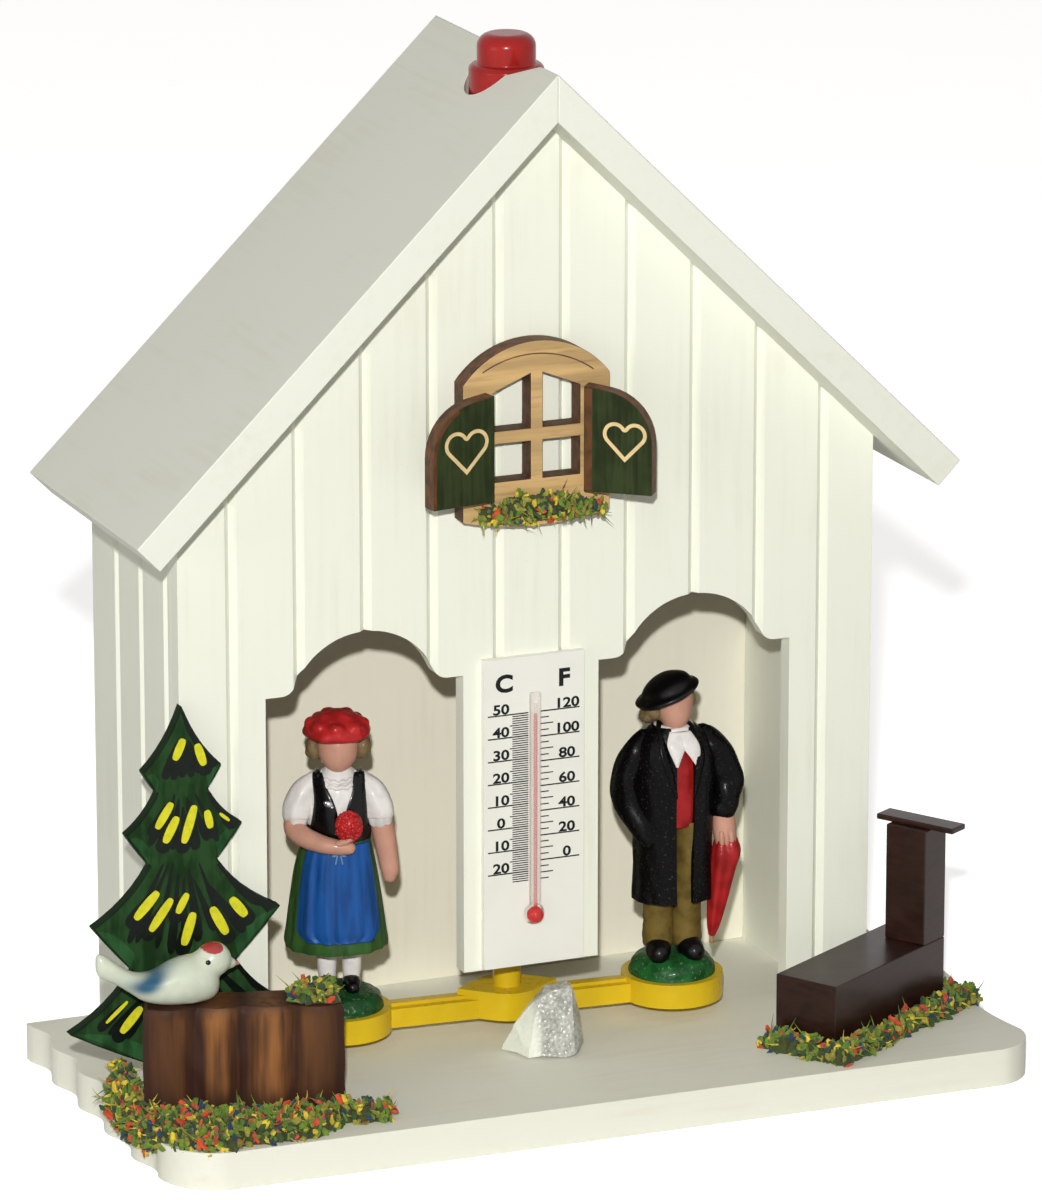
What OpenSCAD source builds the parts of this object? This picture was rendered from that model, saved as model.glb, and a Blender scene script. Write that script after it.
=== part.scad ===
/* [House] */
// Width of the front wall
house_w = 110; // [100:1:120]
// Depth of the house from front wall to back
house_d = 36.7; // [34:0.1:44]
// Thickness of the front wall
front_t = 3; // [2.4:0.1:4]
// Thickness of each side wall
side_t = 6; // [5:0.1:7]
// Thickness of the back panel
back_t = 4.7; // [3:0.1:6]
// Distance from one board groove to the next
groove_pitch = 10.4; // [8:0.1:13]
// Width of a board groove at the face
groove_w = 1.8; // [1:0.1:2.4]
// Diameter of the hanging hole in the back panel
hang_hole_d = 6; // [4:0.1:8]
// Height of the hanging hole above the base board
hang_hole_h = 116; // [100:1:120]

/* [Doorways] */
// Width of each doorway
door_w = 30.9; // [28:0.1:32]
// Width of the post between the doorways
post_w = 21.5; // [20:0.1:24]
// Height of the post's foot above the base board
post_foot = 12.1; // [10:0.1:14]
// Height of a doorway at its shoulders
shoulder_h = 57.9; // [55:0.1:60]
// Height of a doorway at the top of its arch
arch_h = 66.4; // [64:0.1:68]
// Radius of the arch
arch_r = 11.9; // [11:0.1:12.5]
// Radius of the curve between shoulder and arch
ogee_r = 2.2; // [1:0.1:2.6]

/* [Roof] */
// Height of the ridge above the base board
ridge_h = 148.5; // [142:0.5:155]
// Slope of the roof in degrees
roof_pitch = 44.4; // [42:0.1:47]
// Thickness of a roof panel
roof_t = 5; // [4:0.1:6]
// Reach of a panel from the ridge to the eave, measured level
eave_reach = 64.6; // [62:0.1:68]
// Overhang of the roof in front of the wall
roof_front = 10; // [8:0.1:12]
// Half the width of the glue block under the ridge
block_half = 14; // [12:0.1:16]
// Length of the glue block along the ridge
block_len = 18; // [14:0.5:24]

/* [Base board] */
// Thickness of the base board
base_t = 5.7; // [5:0.1:8]
// Reach of the board beyond the left wall
base_left = 11; // [9:0.1:14]
// Reach of the board beyond the right wall
base_right = 14.8; // [13:0.1:18]
// Depth of the garden at the left
garden_left = 28; // [26:0.1:31]
// Depth of the garden at the right
garden_right = 30.5; // [28:0.1:34]
// Height of the waves on the left edge
wave_left = 0.7; // [0.2:0.1:1.2]
// Length of a wave on the left edge
wave_left_pitch = 11.6; // [8:0.1:16]
// Height of the wave on the right edge
wave_right = 1.2; // [0.2:0.1:1.6]
// Length of the wave on the right edge
wave_right_pitch = 40; // [30:1:50]
// Radius of the left front corner
corner_left_r = 9; // [5:0.1:11]
// Radius of the right front corner
corner_right_r = 7.5; // [3:0.1:9]
// Shank diameter of the screws up into the side walls
screw_d = 2.4; // [2:0.1:2.8]
// Length of a screw
screw_len = 16; // [13:0.5:20]

/* [Weather movement] */
// Distance of the turning axis behind the wall's front face
axis_back = 9.4; // [8.5:0.1:11]
// Turn of the swing bar in the photographed weather, in degrees
rest_turn = -4.2; // [-8:0.1:8]
// Clearance between the base board and the swing bar
bar_lift = 1.8; // [1:0.1:2.4]
// Height of the swing bar
bar_h = 2.9; // [2.4:0.1:3.4]
// Width of the swing bar
bar_w = 4.4; // [3.6:0.1:5]
// Radius of the round end that carries a figure
disc_r = 7.7; // [7.2:0.1:8.2]
// Height of the round end
disc_h = 3.7; // [3.2:0.1:4.2]
// Diameter of the swing bar's stem
stem_d = 4.2; // [3.8:0.1:4.6]
// Height of the stem's top above the base board
stem_top = 62; // [58:0.5:70]
// Height of the guide's underside above the base board
guide_h = 40; // [30:0.5:48]
// Thickness of the guide
guide_t = 5; // [3:0.1:7]
// Diameter of the gut string
gut_d = 1.2; // [0.8:0.1:1.4]
// Diameter of the knob's lower tier
knob_d = 11; // [10:0.1:12]
// Height of the knob's lower tier
knob_low_h = 10; // [9:0.1:11]
// Diameter of the knob's upper tier
knob_top_d = 8.6; // [7:0.1:9.4]
// Height of the knob's upper tier
knob_top_h = 4.4; // [3.6:0.1:5]
// Depth of the knob's seat below the ridge
knob_sink = 12; // [10.5:0.1:12.5]
// Diameter of the knob's stem
knob_stem_d = 5; // [4.4:0.1:6]
// Diameter of the collar that keeps the knob in
collar_d = 9; // [8:0.1:11]
// Thickness of that collar
collar_t = 1.6; // [1.2:0.1:2.4]
// Running clearance around a turning stem
run_gap = 0.08; // [0.05:0.01:0.1]
// Clearance around a glued or pressed piece
seat_gap = 0.03; // [0.02:0.01:0.05]
// Clearance around the knob in the roof
knob_gap = 0.6; // [0.3:0.05:0.7]
// Reach of the ramp filed into the ridge before the knob, from the knob's axis
ramp_reach = 13; // [12:0.1:14]
// Slope of that ramp
ramp_slope = 19; // [16:0.5:21]

/* [Figures] */
// Height of a figure above the round end
figure_h = 47; // [44:0.5:49]
// Radius of a figure's green foot
foot_r = 6.6; // [6:0.1:7]
// Diameter of the peg under a figure
peg_d = 3; // [2.4:0.1:3.6]
// Turn of the woman towards the viewer, in degrees
woman_turn = -16; // [-25:1:25]
// Turn of the man towards the viewer, in degrees
man_turn = -6; // [-25:1:25]

/* [Thermometer] */
// Width of the scale plate
plate_w = 16; // [14:0.1:18]
// Height of the scale plate
plate_h = 47.6; // [44:0.1:50]
// Thickness of the scale plate
plate_t = 1.2; // [1:0.1:1.6]
// Distance of the plate above the post's foot
plate_lift = 0.4; // [0.2:0.1:1]
// Outer diameter of the glass tube
tube_d = 1.7; // [1.4:0.1:2]
// Diameter of the tube's bore
tube_bore = 0.6; // [0.5:0.1:0.9]
// Length of the tube above the bulb's centre
tube_len = 34.2; // [32:0.1:36]
// Diameter of the bulb
bulb_d = 3.2; // [2.8:0.1:3.4]
// Height of the bulb above the plate's lower edge
bulb_h = 7.8; // [6:0.1:10]
// Height of the red spirit above the bulb's centre
spirit_len = 31; // [10:0.5:31.5]

/* [Window] */
// Width of the window frame
window_w = 23.1; // [22:0.1:26]
// Thickness of the window frame
window_t = 3.5; // [2:0.1:4]
// Distance of the window's middle to the left of the ridge
window_left = 0.6; // [0:0.1:2]
// Height of the window sill above the base board
sill_h = 80.5; // [78:0.1:84]
// Height of the window above its sill
window_h = 27.7; // [26:0.1:30]
// Width of the bars between the panes
bar_pane = 1.9; // [1.4:0.1:2.4]
// Width of a pane
pane_w = 5.9; // [5:0.1:6.4]
// Height of a lower pane
pane_low_h = 5.7; // [5:0.1:6.2]
// Height of an upper pane beside the middle bar
pane_top_h = 8.2; // [7:0.1:8.6]
// Fall of an upper pane's top towards the outside
pane_fall = 2.4; // [1:0.1:3]
// Height of the lower panes above the sill
pane_rise = 7.1; // [6.4:0.1:7.4]
// Width of a shutter
shutter_w = 10.3; // [9:0.1:12]
// Thickness of a shutter
shutter_t = 2.6; // [1.6:0.1:3]
// Height of a shutter
shutter_h = 15.4; // [14:0.1:19]
// Height of a shutter's foot above the sill
shutter_lift = 5; // [2:0.1:6]
// Radius of a shutter's outer top corner
shutter_r = 8; // [5:0.1:9]
// Angle of the left shutter to the wall, in degrees
shutter_left_turn = 9; // [6:1:60]
// Angle of the right shutter to the wall, in degrees
shutter_right_turn = 39; // [6:1:60]

/* [Garden] */
// Thickness of the fir tree's board
tree_t = 2; // [1.6:0.1:3]
// Height of the fir tree
tree_h = 59; // [55:0.5:64]
// Half the width of the fir tree's lowest tier
tree_half = 17.3; // [15:0.1:19]
// Distance of the tree's middle to the left of the wall's corner
tree_out = 0.3; // [0:0.1:2]
// Distance of the stump's near end to the left of the wall's corner
stump_out = 9.9; // [8:0.1:11]
// Distance of the stump's near end in front of the tree
stump_front = 8; // [7:0.1:9]
// Length of the tree stump
stump_len = 29.5; // [26:0.1:31]
// Depth of the tree stump
stump_d = 8.6; // [7:0.1:9]
// Height of the tree stump
stump_h = 16.3; // [15:0.1:19]
// Turn of the stump, in degrees
stump_turn = -17.4; // [-20:0.1:-12]
// Distance of the trough's near corner inside the wall's right corner
trough_in = 15.8; // [12:0.1:18]
// Distance of the trough's near corner in front of the wall
trough_front = 22.9; // [22:0.1:25]
// Length of the well's trough
trough_len = 29.4; // [27:0.1:31]
// Width of the well's trough
trough_w = 10.7; // [9:0.1:11]
// Height of the well's trough
trough_h = 10.5; // [8:0.1:12]
// Turn of the trough, in degrees
trough_turn = 31.2; // [28:0.1:33]
// Width of the well's post across the trough
well_post_w = 7; // [5:0.1:8]
// Depth of the well's post along the trough
well_post_d = 5.8; // [4:0.1:7]
// Height of the well's post above the trough
well_post_h = 18; // [15:0.1:21]
// Length of the post's cap
cap_len = 13.6; // [12:0.1:15]
// Depth of the post's cap
cap_d = 3.6; // [3:0.1:5]
// Thickness of the post's cap
cap_t = 0.9; // [0.8:0.1:1.4]
// Distance of the stone in front of the wall
stone_front = 5.9; // [5.6:0.1:9]
// Width of the stone
stone_w = 12.4; // [10:0.1:13]
// Height of the stone
stone_h = 10.8; // [9:0.1:12]
// Height of the moss cushions
moss_h = 3.2; // [2:0.1:4]

/* [Hidden] */
$fn = 64;
EPS = 0.01;
// Height at which the figures' measures below are given
FIGURE_DRAWN = 47;

// Frame: origin on the underside of the base board, front towards -Y
half_w = house_w / 2;
back_y = (house_d + (garden_left + garden_right) / 2) / 2;
front_y = back_y - house_d;
inner_y = front_y + front_t;
floor_z = base_t;
panel_half = half_w - side_t;

// Roof line, with heights counted from the base board's top
fall = tan(roof_pitch);
apex_h = ridge_h - roof_t / cos(roof_pitch);
block_h = apex_h - block_half * fall;
function roof_under(x) = apex_h - abs(x) * fall;

// Doorways
door_x = (post_w + door_w) / 2;
arch_z = arch_h - arch_r;
ogee_z = shoulder_h + ogee_r;
ogee_x = sqrt(pow(arch_r + ogee_r, 2) - pow(ogee_z - arch_z, 2));
ogee_a = asin((ogee_z - arch_z) / (arch_r + ogee_r));

// Weather movement
axis_y = front_y + axis_back;
bar_z = floor_z + bar_lift;
disc_top = bar_z + disc_h;
stem_z = floor_z + stem_top;
arm = door_x;
hub_len = 15.6;
hub_r = 4.9;
hub_a = acos(hub_r / (hub_len / 2));
hub_h = bar_h + 1.4;
rib_w = 1.8;
rib_h = 0.5;
ferrule_plug_d = 2.2;
ferrule_plug_h = 4;
ferrule_h = 4;
gut_grip = 6;
guide_wall = 3;
seat_z = floor_z + ridge_h - knob_sink;
knob_lift = 0.1;
knob_z = seat_z + knob_lift;
collar_z = floor_z + block_h - knob_lift - collar_t;
knob_stem_tip = 1.2;
knob_stem_z = collar_z - knob_stem_tip;
knob_recess_r = knob_d / 2 + knob_gap;
ramp_len = ramp_reach - 1;

// Base screws
screw_head_d = 5;
screw_head_h = 1.6;
screw_inset = 7;

// Thermometer
plate_z = floor_z + post_foot + plate_lift;
bulb_z = plate_z + bulb_h;
tube_y = front_y - bulb_d / 2 - seat_gap;
glass_t = 0.3;

// Window
window_z = floor_z + sill_h;
window_arch_r = 14.5;
window_arch_z = window_h - window_arch_r;
sill_dip = 1.5;
window_y = front_y - window_t;
shutter_x = bar_pane / 2 + pane_w + 1.25;
shutter_gap = 0.1;

// Garden
tree_x = -half_w - tree_out;
trunk_w = 5;
stump_gap = 0.4;
stump_x = -half_w - stump_out;
stump_y = front_y - tree_t - stump_front;
stump_lobes = 4;
stump_bulge = 1.1;
trough_x = half_w - trough_in;
trough_y = front_y - trough_front;
moss_gap = 0.3;
cap_shift = 0.8;

function arc(c, r, a0, a1, n) =
    [for (i = [0:n]) c + r * [cos(a0 + (a1 - a0) * i / n), sin(a0 + (a1 - a0) * i / n)]];
function bezier(p0, p1, p2, n) =
    [for (i = [1:n]) let (t = i / n) p0 * (1 - t) * (1 - t) + p1 * 2 * t * (1 - t) + p2 * t * t];
function mirrored(points) = [for (i = [len(points) - 1:-1:0]) [-points[i].x, points[i].y]];

// Upright board: a flat outline in X and Z, its front face at y and its thickness towards the back
module upright(y, thickness) {
    translate([0, y + thickness, floor_z])
        rotate([90, 0, 0])
            linear_extrude(thickness)
                children();
}

module gable(half) {
    polygon([[-half, 0], [half, 0], [half, roof_under(half)], [0, apex_h], [-half, roof_under(half)]]);
}

module doorway() {
    half = door_w / 2;
    right_side = concat(
        [[half, -1], [half, shoulder_h]],
        arc([ogee_x, ogee_z], ogee_r, 270, 180 + ogee_a, 6),
        arc([0, arch_z], arch_r, ogee_a, 90, 12)
    );
    polygon(concat(right_side, mirrored(right_side)));
}

// Upright cutter for one groove, its middle line on the face
module groove_cut(height) {
    side = groove_w / sqrt(2);
    rotate(45)
        translate([-side / 2, -side / 2, -1])
            cube([side, side, height + 2]);
}

// Straight run of waves along a side edge, zero at the corner's end
function wavy_edge(x, amp, pitch, y0, y1, n) =
    [for (i = [0:n]) let (y = y0 + (y1 - y0) * i / n) [x + amp * sin(360 * (y - y0) / pitch), y]];
function reversed(points) = [for (i = [len(points) - 1:-1:0]) points[i]];

function base_outline() =
    let (
        left = -half_w - base_left,
        right = half_w + base_right,
        front_l = front_y - garden_left,
        front_r = front_y - garden_right,
        start_l = front_l + corner_left_r,
        start_r = front_r + corner_right_r
    )
    concat(
        reversed(wavy_edge(left, wave_left, wave_left_pitch, start_l, back_y, 40)),
        arc([left + corner_left_r, start_l], corner_left_r, 190, 262, 8),
        arc([right - corner_right_r, start_r], corner_right_r, 278, 350, 6),
        wavy_edge(right, -wave_right, wave_right_pitch, start_r, back_y, 24)
    );

module screw_places() {
    for (side = [-1, 1], y = [inner_y + screw_inset, back_y - screw_inset])
        translate([side * (half_w - side_t / 2), y, 0])
            children();
}

module screw(extra) {
    cylinder(h = screw_len, d = screw_d + 2 * extra, $fn = 32);
    cylinder(h = screw_head_h, d1 = screw_head_d + 2 * extra, d2 = screw_d + 2 * extra, $fn = 32);
}

module base_board() {
    color("ivory")
        difference() {
            linear_extrude(base_t)
                polygon(base_outline());
            screw_places()
                screw(seat_gap);
        }
}

module base_screws() {
    color("silver")
        screw_places()
            screw(0);
}

module front_wall() {
    color("ivory")
        difference() {
            upright(front_y, front_t)
                difference() {
                    gable(half_w);
                    for (side = [-1, 1])
                        translate([side * door_x, 0])
                            doorway();
                    translate([-door_x, -1])
                        square([2 * door_x, post_foot + 1]);
                }
            for (i = [0:floor((half_w - groove_w) / groove_pitch - 0.5)], side = [-1, 1])
                translate([side * (i + 0.5) * groove_pitch, front_y, floor_z])
                    groove_cut(apex_h);
        }
}

module side_wall(side) {
    outer = side * half_w;
    inner = side * panel_half;
    wall_d = house_d - front_t;
    difference() {
        upright(inner_y, wall_d)
            polygon([[outer, 0], [outer, roof_under(outer)], [inner, roof_under(inner)], [inner, 0]]);
        for (i = [0:floor((house_d - groove_w) / groove_pitch - 0.5)])
            translate([outer, front_y + (i + 0.5) * groove_pitch, floor_z])
                groove_cut(apex_h);
        screw_places()
            screw(seat_gap);
    }
}

module left_wall() {
    color("ivory")
        side_wall(-1);
}

module right_wall() {
    color("ivory")
        side_wall(1);
}

module back_panel() {
    color("blanchedalmond")
        upright(back_y - back_t, back_t)
            difference() {
                gable(panel_half);
                translate([0, hang_hole_h])
                    circle(d = hang_hole_d);
            }
}

// Round recess that takes the knob's lower tier
module knob_recess() {
    translate([0, axis_y, seat_z])
        cylinder(h = 2 * knob_sink, r = knob_recess_r);
}

// Ramp filed into the ridge, which falls from the front to the knob's recess
module ridge_ramp() {
    translate([-knob_recess_r, axis_y - ramp_reach, floor_z + ridge_h])
        rotate([-ramp_slope, 0, 0])
            cube([2 * knob_recess_r, ramp_len, ramp_len]);
}

module roof_panel(side) {
    eave_z = ridge_h - eave_reach * fall;
    difference() {
        upright(front_y - roof_front, house_d + roof_front)
            polygon([
                [0, ridge_h],
                [side * eave_reach, eave_z],
                [side * (eave_reach - roof_t * sin(roof_pitch)), eave_z - roof_t * cos(roof_pitch)],
                [0, apex_h]
            ]);
        knob_recess();
        ridge_ramp();
    }
}

module left_roof_panel() {
    color("lightgray")
        roof_panel(-1);
}

module right_roof_panel() {
    color("lightgray")
        roof_panel(1);
}

module ridge_block() {
    color("burlywood")
        difference() {
            upright(inner_y, block_len)
                polygon([[0, apex_h], [block_half, block_h], [-block_half, block_h]]);
            knob_recess();
            translate([0, axis_y, floor_z])
                cylinder(h = ridge_h, d = knob_stem_d + 2 * run_gap);
        }
}

module chimney_knob() {
    low_r = knob_d / 2;
    top_r = knob_top_d / 2;
    top_z = knob_z + knob_low_h;
    crown = top_r * 0.45;
    color("firebrick")
        translate([0, axis_y, 0])
            difference() {
                rotate_extrude()
                    polygon(concat(
                        [[0, knob_stem_z], [knob_stem_d / 2, knob_stem_z], [knob_stem_d / 2, knob_z]],
                        [[low_r, knob_z], [low_r, top_z - 0.6], [low_r - 0.6, top_z], [top_r, top_z]],
                        arc([top_r - crown, top_z + knob_top_h - crown], crown, 0, 90, 6),
                        [[0, top_z + knob_top_h]]
                    ));
                translate([0, 0, knob_stem_z - 1])
                    cylinder(h = gut_grip + 1, d = gut_d + 2 * seat_gap, $fn = 32);
            }
}

module knob_collar() {
    color("dimgray")
        translate([0, axis_y, collar_z])
            difference() {
                cylinder(h = collar_t, d = collar_d);
                translate([0, 0, -1])
                    cylinder(h = collar_t + 2, d = knob_stem_d + 2 * seat_gap);
            }
}

module gut_string() {
    foot_z = stem_z + ferrule_h - gut_grip;
    head_z = knob_stem_z + gut_grip;
    color("wheat")
        translate([0, axis_y, foot_z + seat_gap])
            cylinder(h = head_z - foot_z - 2 * seat_gap, d = gut_d, $fn = 32);
}

module gut_ferrule() {
    color("goldenrod")
        translate([0, axis_y, stem_z])
            difference() {
                union() {
                    cylinder(h = ferrule_h, d = stem_d);
                    translate([0, 0, -ferrule_plug_h])
                        cylinder(h = ferrule_plug_h + EPS, d = ferrule_plug_d);
                }
                translate([0, 0, ferrule_h - gut_grip])
                    cylinder(h = gut_grip + 1, d = gut_d + 2 * run_gap, $fn = 32);
            }
}

// Pieces that turn with the swing bar, set at its turn in the photographed weather
module on_swing_bar(z) {
    translate([0, axis_y, z])
        rotate(rest_turn)
            children();
}

module swing_bar() {
    color("gold")
        on_swing_bar(bar_z)
            difference() {
                union() {
                    translate([-arm, -bar_w / 2, 0])
                        cube([2 * arm, bar_w, bar_h]);
                    translate([-arm, -rib_w / 2, 0])
                        cube([2 * arm, rib_w, bar_h + rib_h]);
                    linear_extrude(hub_h)
                        polygon(concat(
                            [[hub_len / 2, 0]],
                            arc([0, 0], hub_r, hub_a, 180 - hub_a, 10),
                            [[-hub_len / 2, 0]],
                            arc([0, 0], hub_r, 180 + hub_a, 360 - hub_a, 10)
                        ));
                    cylinder(h = stem_z - bar_z, d = stem_d);
                    for (side = [-1, 1])
                        translate([side * arm, 0, 0])
                            cylinder(h = disc_h, r = disc_r);
                }
                for (side = [-1, 1])
                    translate([side * arm, 0, -1])
                        cylinder(h = disc_h + 2, d = peg_d + 2 * seat_gap, $fn = 32);
                translate([0, 0, stem_z - bar_z - ferrule_plug_h - seat_gap])
                    cylinder(h = ferrule_plug_h + 1, d = ferrule_plug_d + 2 * seat_gap, $fn = 32);
            }
}

module stem_guide() {
    eye_r = stem_d / 2 + guide_wall;
    color("burlywood")
        translate([0, axis_y, floor_z + guide_h])
            difference() {
                union() {
                    cylinder(h = guide_t, r = eye_r);
                    translate([-eye_r, inner_y - axis_y, 0])
                        cube([2 * eye_r, axis_y - inner_y, guide_t]);
                }
                translate([0, 0, -1])
                    cylinder(h = guide_t + 2, d = stem_d + 2 * run_gap);
            }
}

// Closed skin through level oval rings, each [height, middle x, middle y, half width, half depth]
module loft(rings, sides = 20) {
    count = len(rings);
    points = [
        for (ring = rings, i = [0:sides - 1])
            [ring[1] + ring[3] * cos(360 * i / sides), ring[2] + ring[4] * sin(360 * i / sides), ring[0]]
    ];
    walls = [
        for (k = [0:count - 2], i = [0:sides - 1])
            let (a = k * sides + i, b = k * sides + (i + 1) % sides)
            each [[a, a + sides, b], [b, a + sides, b + sides]]
    ];
    floor_face = [[for (i = [0:sides - 1]) i]];
    top_face = [[for (i = [sides - 1:-1:0]) (count - 1) * sides + i]];
    polyhedron(points, concat(floor_face, walls, top_face));
}

module ellipsoid(middle, radii) {
    translate(middle)
        hull()
            scale(radii)
                sphere(1, $fn = 16);
}

module limb(a, ra, b, rb) {
    hull() {
        translate(a)
            sphere(ra, $fn = 14);
        translate(b)
            sphere(rb, $fn = 14);
    }
}

module figure_foot() {
    loft([
        [0, 0, 0, foot_r, foot_r],
        [0.028 * figure_h, 0, 0, foot_r, foot_r],
        [0.053 * figure_h, 0, 0, 0.83 * foot_r, 0.83 * foot_r],
        [0.07 * figure_h, 0, 0, 0.52 * foot_r, 0.52 * foot_r]
    ]);
    translate([0, 0, -disc_h])
        hull()
            cylinder(h = disc_h + 1, d = peg_d, $fn = 20);
}

module woman_figure() {
    color("royalblue")
        on_swing_bar(disc_top)
            translate([-arm, 0, 0])
                rotate(woman_turn) {
                    figure_foot();
                    scale(figure_h / FIGURE_DRAWN) {
                        for (side = [-1, 1]) {
                            ellipsoid([side * 1.8, -1.3, 3.8], [1.5, 2.5, 1.1]);
                            limb([side * 1.8, 0, 4.6], 1.3, [side * 1.8, 0, 10], 1.5);
                        }
                        loft([
                            [9.1, 0, 0, 7.5, 6.2], [13, 0, 0, 7.1, 5.8], [18, 0, 0, 6.2, 5.1],
                            [23.5, 0, 0, 5, 4.2], [27, 0, 0, 4.7, 3.9], [31, 0, 0, 4.9, 3.9],
                            [34, 0, 0, 4.5, 3.6], [35.8, 0, 0, 3.5, 2.9], [36.8, 0, 0, 2.2, 2.2]
                        ]);
                        ellipsoid([0, -0.2, 39.4], [3.2, 3.4, 4]);
                        ellipsoid([0, 0.7, 40.3], [4.1, 3.8, 3.4]);
                        ellipsoid([0, 0.2, 42.7], [4.7, 4.6, 2.4]);
                        ellipsoid([0, 0.2, 44.7], [2.8, 2.8, 1.4]);
                        limb([-4.3, 0, 33.4], 1.9, [-5.7, -0.6, 30.2], 2.1);
                        limb([-5.9, -1.4, 28], 1.7, [0.6, -5, 25.8], 1.3);
                        ellipsoid([1.6, -5.1, 28.6], [2.2, 2.2, 2.2]);
                        limb([4.3, 0, 33.4], 1.9, [5.7, -0.3, 30], 2.1);
                        limb([6, -0.4, 29], 1.8, [6.4, -1.2, 22.2], 1.6);
                    }
                }
}

module man_figure() {
    hat_tilt = -19;
    color("dimgray")
        on_swing_bar(disc_top)
            translate([arm, 0, 0])
                rotate(man_turn) {
                    figure_foot();
                    scale(figure_h / FIGURE_DRAWN) {
                        for (side = [-1, 1]) {
                            ellipsoid([side * 2, -1.6, 3.6], [1.7, 2.8, 1.2]);
                            limb([side * 2, 0, 5.6], 2, [side * 2, 0, 12.5], 2.2);
                        }
                        loft([
                            [11.7, 0, 0, 6, 4.7], [16, 0, 0, 5.9, 4.6], [24, 0, 0, 6.1, 4.6],
                            [31, 0, 0, 6.4, 4.6], [36, 0, 0, 6, 4.2], [38.4, 0, 0, 4.2, 3.3],
                            [39.8, 0, 0, 2.2, 2.2]
                        ]);
                        ellipsoid([0.3, -0.4, 41.4], [3, 3.2, 3.9]);
                        ellipsoid([-0.3, 0.8, 41.6], [3.8, 3.4, 3]);
                        translate([0, 0, 44.3])
                            rotate([0, hat_tilt, 0]) {
                                ellipsoid([0, 0, 0], [5.1, 4.8, 0.7]);
                                ellipsoid([-0.6, 0.2, 0.5], [3.6, 3.6, 2.2]);
                            }
                        limb([-6.1, 0.2, 35.8], 2.4, [-7.5, 0.6, 30.5], 2.2);
                        limb([-7.5, 0.6, 30.5], 2.2, [-6, -0.8, 24.5], 2.1);
                        limb([6.1, 0.2, 35.8], 2.4, [7.6, 0, 30.5], 2.1);
                        limb([7.6, 0, 30.5], 2.1, [7.1, -0.6, 26.8], 2.1);
                        limb([7.1, -0.8, 25], 1.5, [7, -1.2, 20.8], 1.5);
                        limb([7.2, -1.3, 19], 2, [5.7, -1.7, 6.4], 0.6);
                    }
                }
}

module thermometer_plate() {
    color("white")
        translate([0, 0, plate_z - floor_z])
            difference() {
                upright(front_y - plate_t, plate_t)
                    translate([-plate_w / 2, 0])
                        square([plate_w, plate_h]);
                translate([0, tube_y, floor_z + bulb_h]) {
                    cylinder(h = tube_len + seat_gap, d = tube_d + 2 * seat_gap, $fn = 32);
                    rotate([90, 0, 0])
                        cylinder(h = 4 * plate_t, d = bulb_d + 2 * seat_gap, center = true, $fn = 40);
                }
            }
}

module thermometer_tube() {
    bore_top = spirit_len + (tube_len - spirit_len) / 2;
    color("aliceblue", 0.5)
        translate([0, tube_y, bulb_z])
            difference() {
                union() {
                    cylinder(h = tube_len, d = tube_d, $fn = 32);
                    sphere(d = bulb_d, $fn = 40);
                }
                cylinder(h = bore_top, d = tube_bore, $fn = 32);
                sphere(d = bulb_d - 2 * glass_t, $fn = 40);
            }
}

module thermometer_spirit() {
    color("red")
        translate([0, tube_y, bulb_z]) {
            cylinder(h = spirit_len, d = tube_bore - 2 * seat_gap, $fn = 32);
            sphere(d = bulb_d - 2 * glass_t - 2 * seat_gap, $fn = 40);
        }
}

module window_pane_low() {
    square([pane_w, pane_low_h]);
}

module window_pane_top() {
    polygon([[0, 0], [pane_w, 0], [pane_w, pane_top_h - pane_fall], [0, pane_top_h]]);
}

module window_outline() {
    half = window_w / 2;
    spring_a = acos(half / window_arch_r);
    sill_r = (half * half + sill_dip * sill_dip) / (2 * sill_dip);
    sill_a = asin(half / sill_r);
    polygon(concat(
        arc([0, window_arch_z], window_arch_r, spring_a, 180 - spring_a, 24),
        arc([0, sill_r], sill_r, 270 - sill_a, 270 + sill_a, 12)
    ));
}

module window_frame() {
    color("tan")
        translate([-window_left, 0, sill_h])
            upright(window_y, window_t)
                difference() {
                    window_outline();
                    for (side = [0, 1])
                        mirror([side, 0])
                            translate([bar_pane / 2, pane_rise]) {
                                window_pane_low();
                                translate([0, pane_low_h + bar_pane])
                                    window_pane_top();
                            }
                }
}

// Shutter board in its own plane, hinge edge at x = 0 and opening towards +X
module shutter_board() {
    polygon(concat(
        [[0, 0], [shutter_w, 0]],
        arc([shutter_w - shutter_r, shutter_h - shutter_r], shutter_r, 0, 80, 10),
        [[0, shutter_h + 0.4]]
    ));
}

module shutter(turn) {
    translate([shutter_x, window_y - shutter_gap, window_z + shutter_lift])
        rotate(-turn)
            rotate([90, 0, 0])
                linear_extrude(shutter_t)
                    shutter_board();
}

module left_shutter() {
    color("darkolivegreen")
        translate([-window_left, 0, 0])
            mirror([1, 0, 0])
                shutter(shutter_left_turn);
}

module right_shutter() {
    color("darkolivegreen")
        translate([-window_left, 0, 0])
            shutter(shutter_right_turn);
}

// Low cushion of moss standing on the XY plane
module moss_lump(r, h) {
    hull()
        cylinder(h = h, r1 = r, r2 = 0.55 * r, $fn = 7);
}

// Row of moss cushions from one place to another, with uneven sizes that repeat at every build
module moss_row(a, b, count, r, h, seed) {
    size = rands(0.75, 1, count, seed);
    for (i = [0:count - 1]) {
        place = a + (b - a) * i / max(1, count - 1);
        translate([place.x, place.y, 0])
            rotate(40 * i)
                moss_lump(r * size[i], h * size[count - 1 - i]);
    }
}

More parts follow.
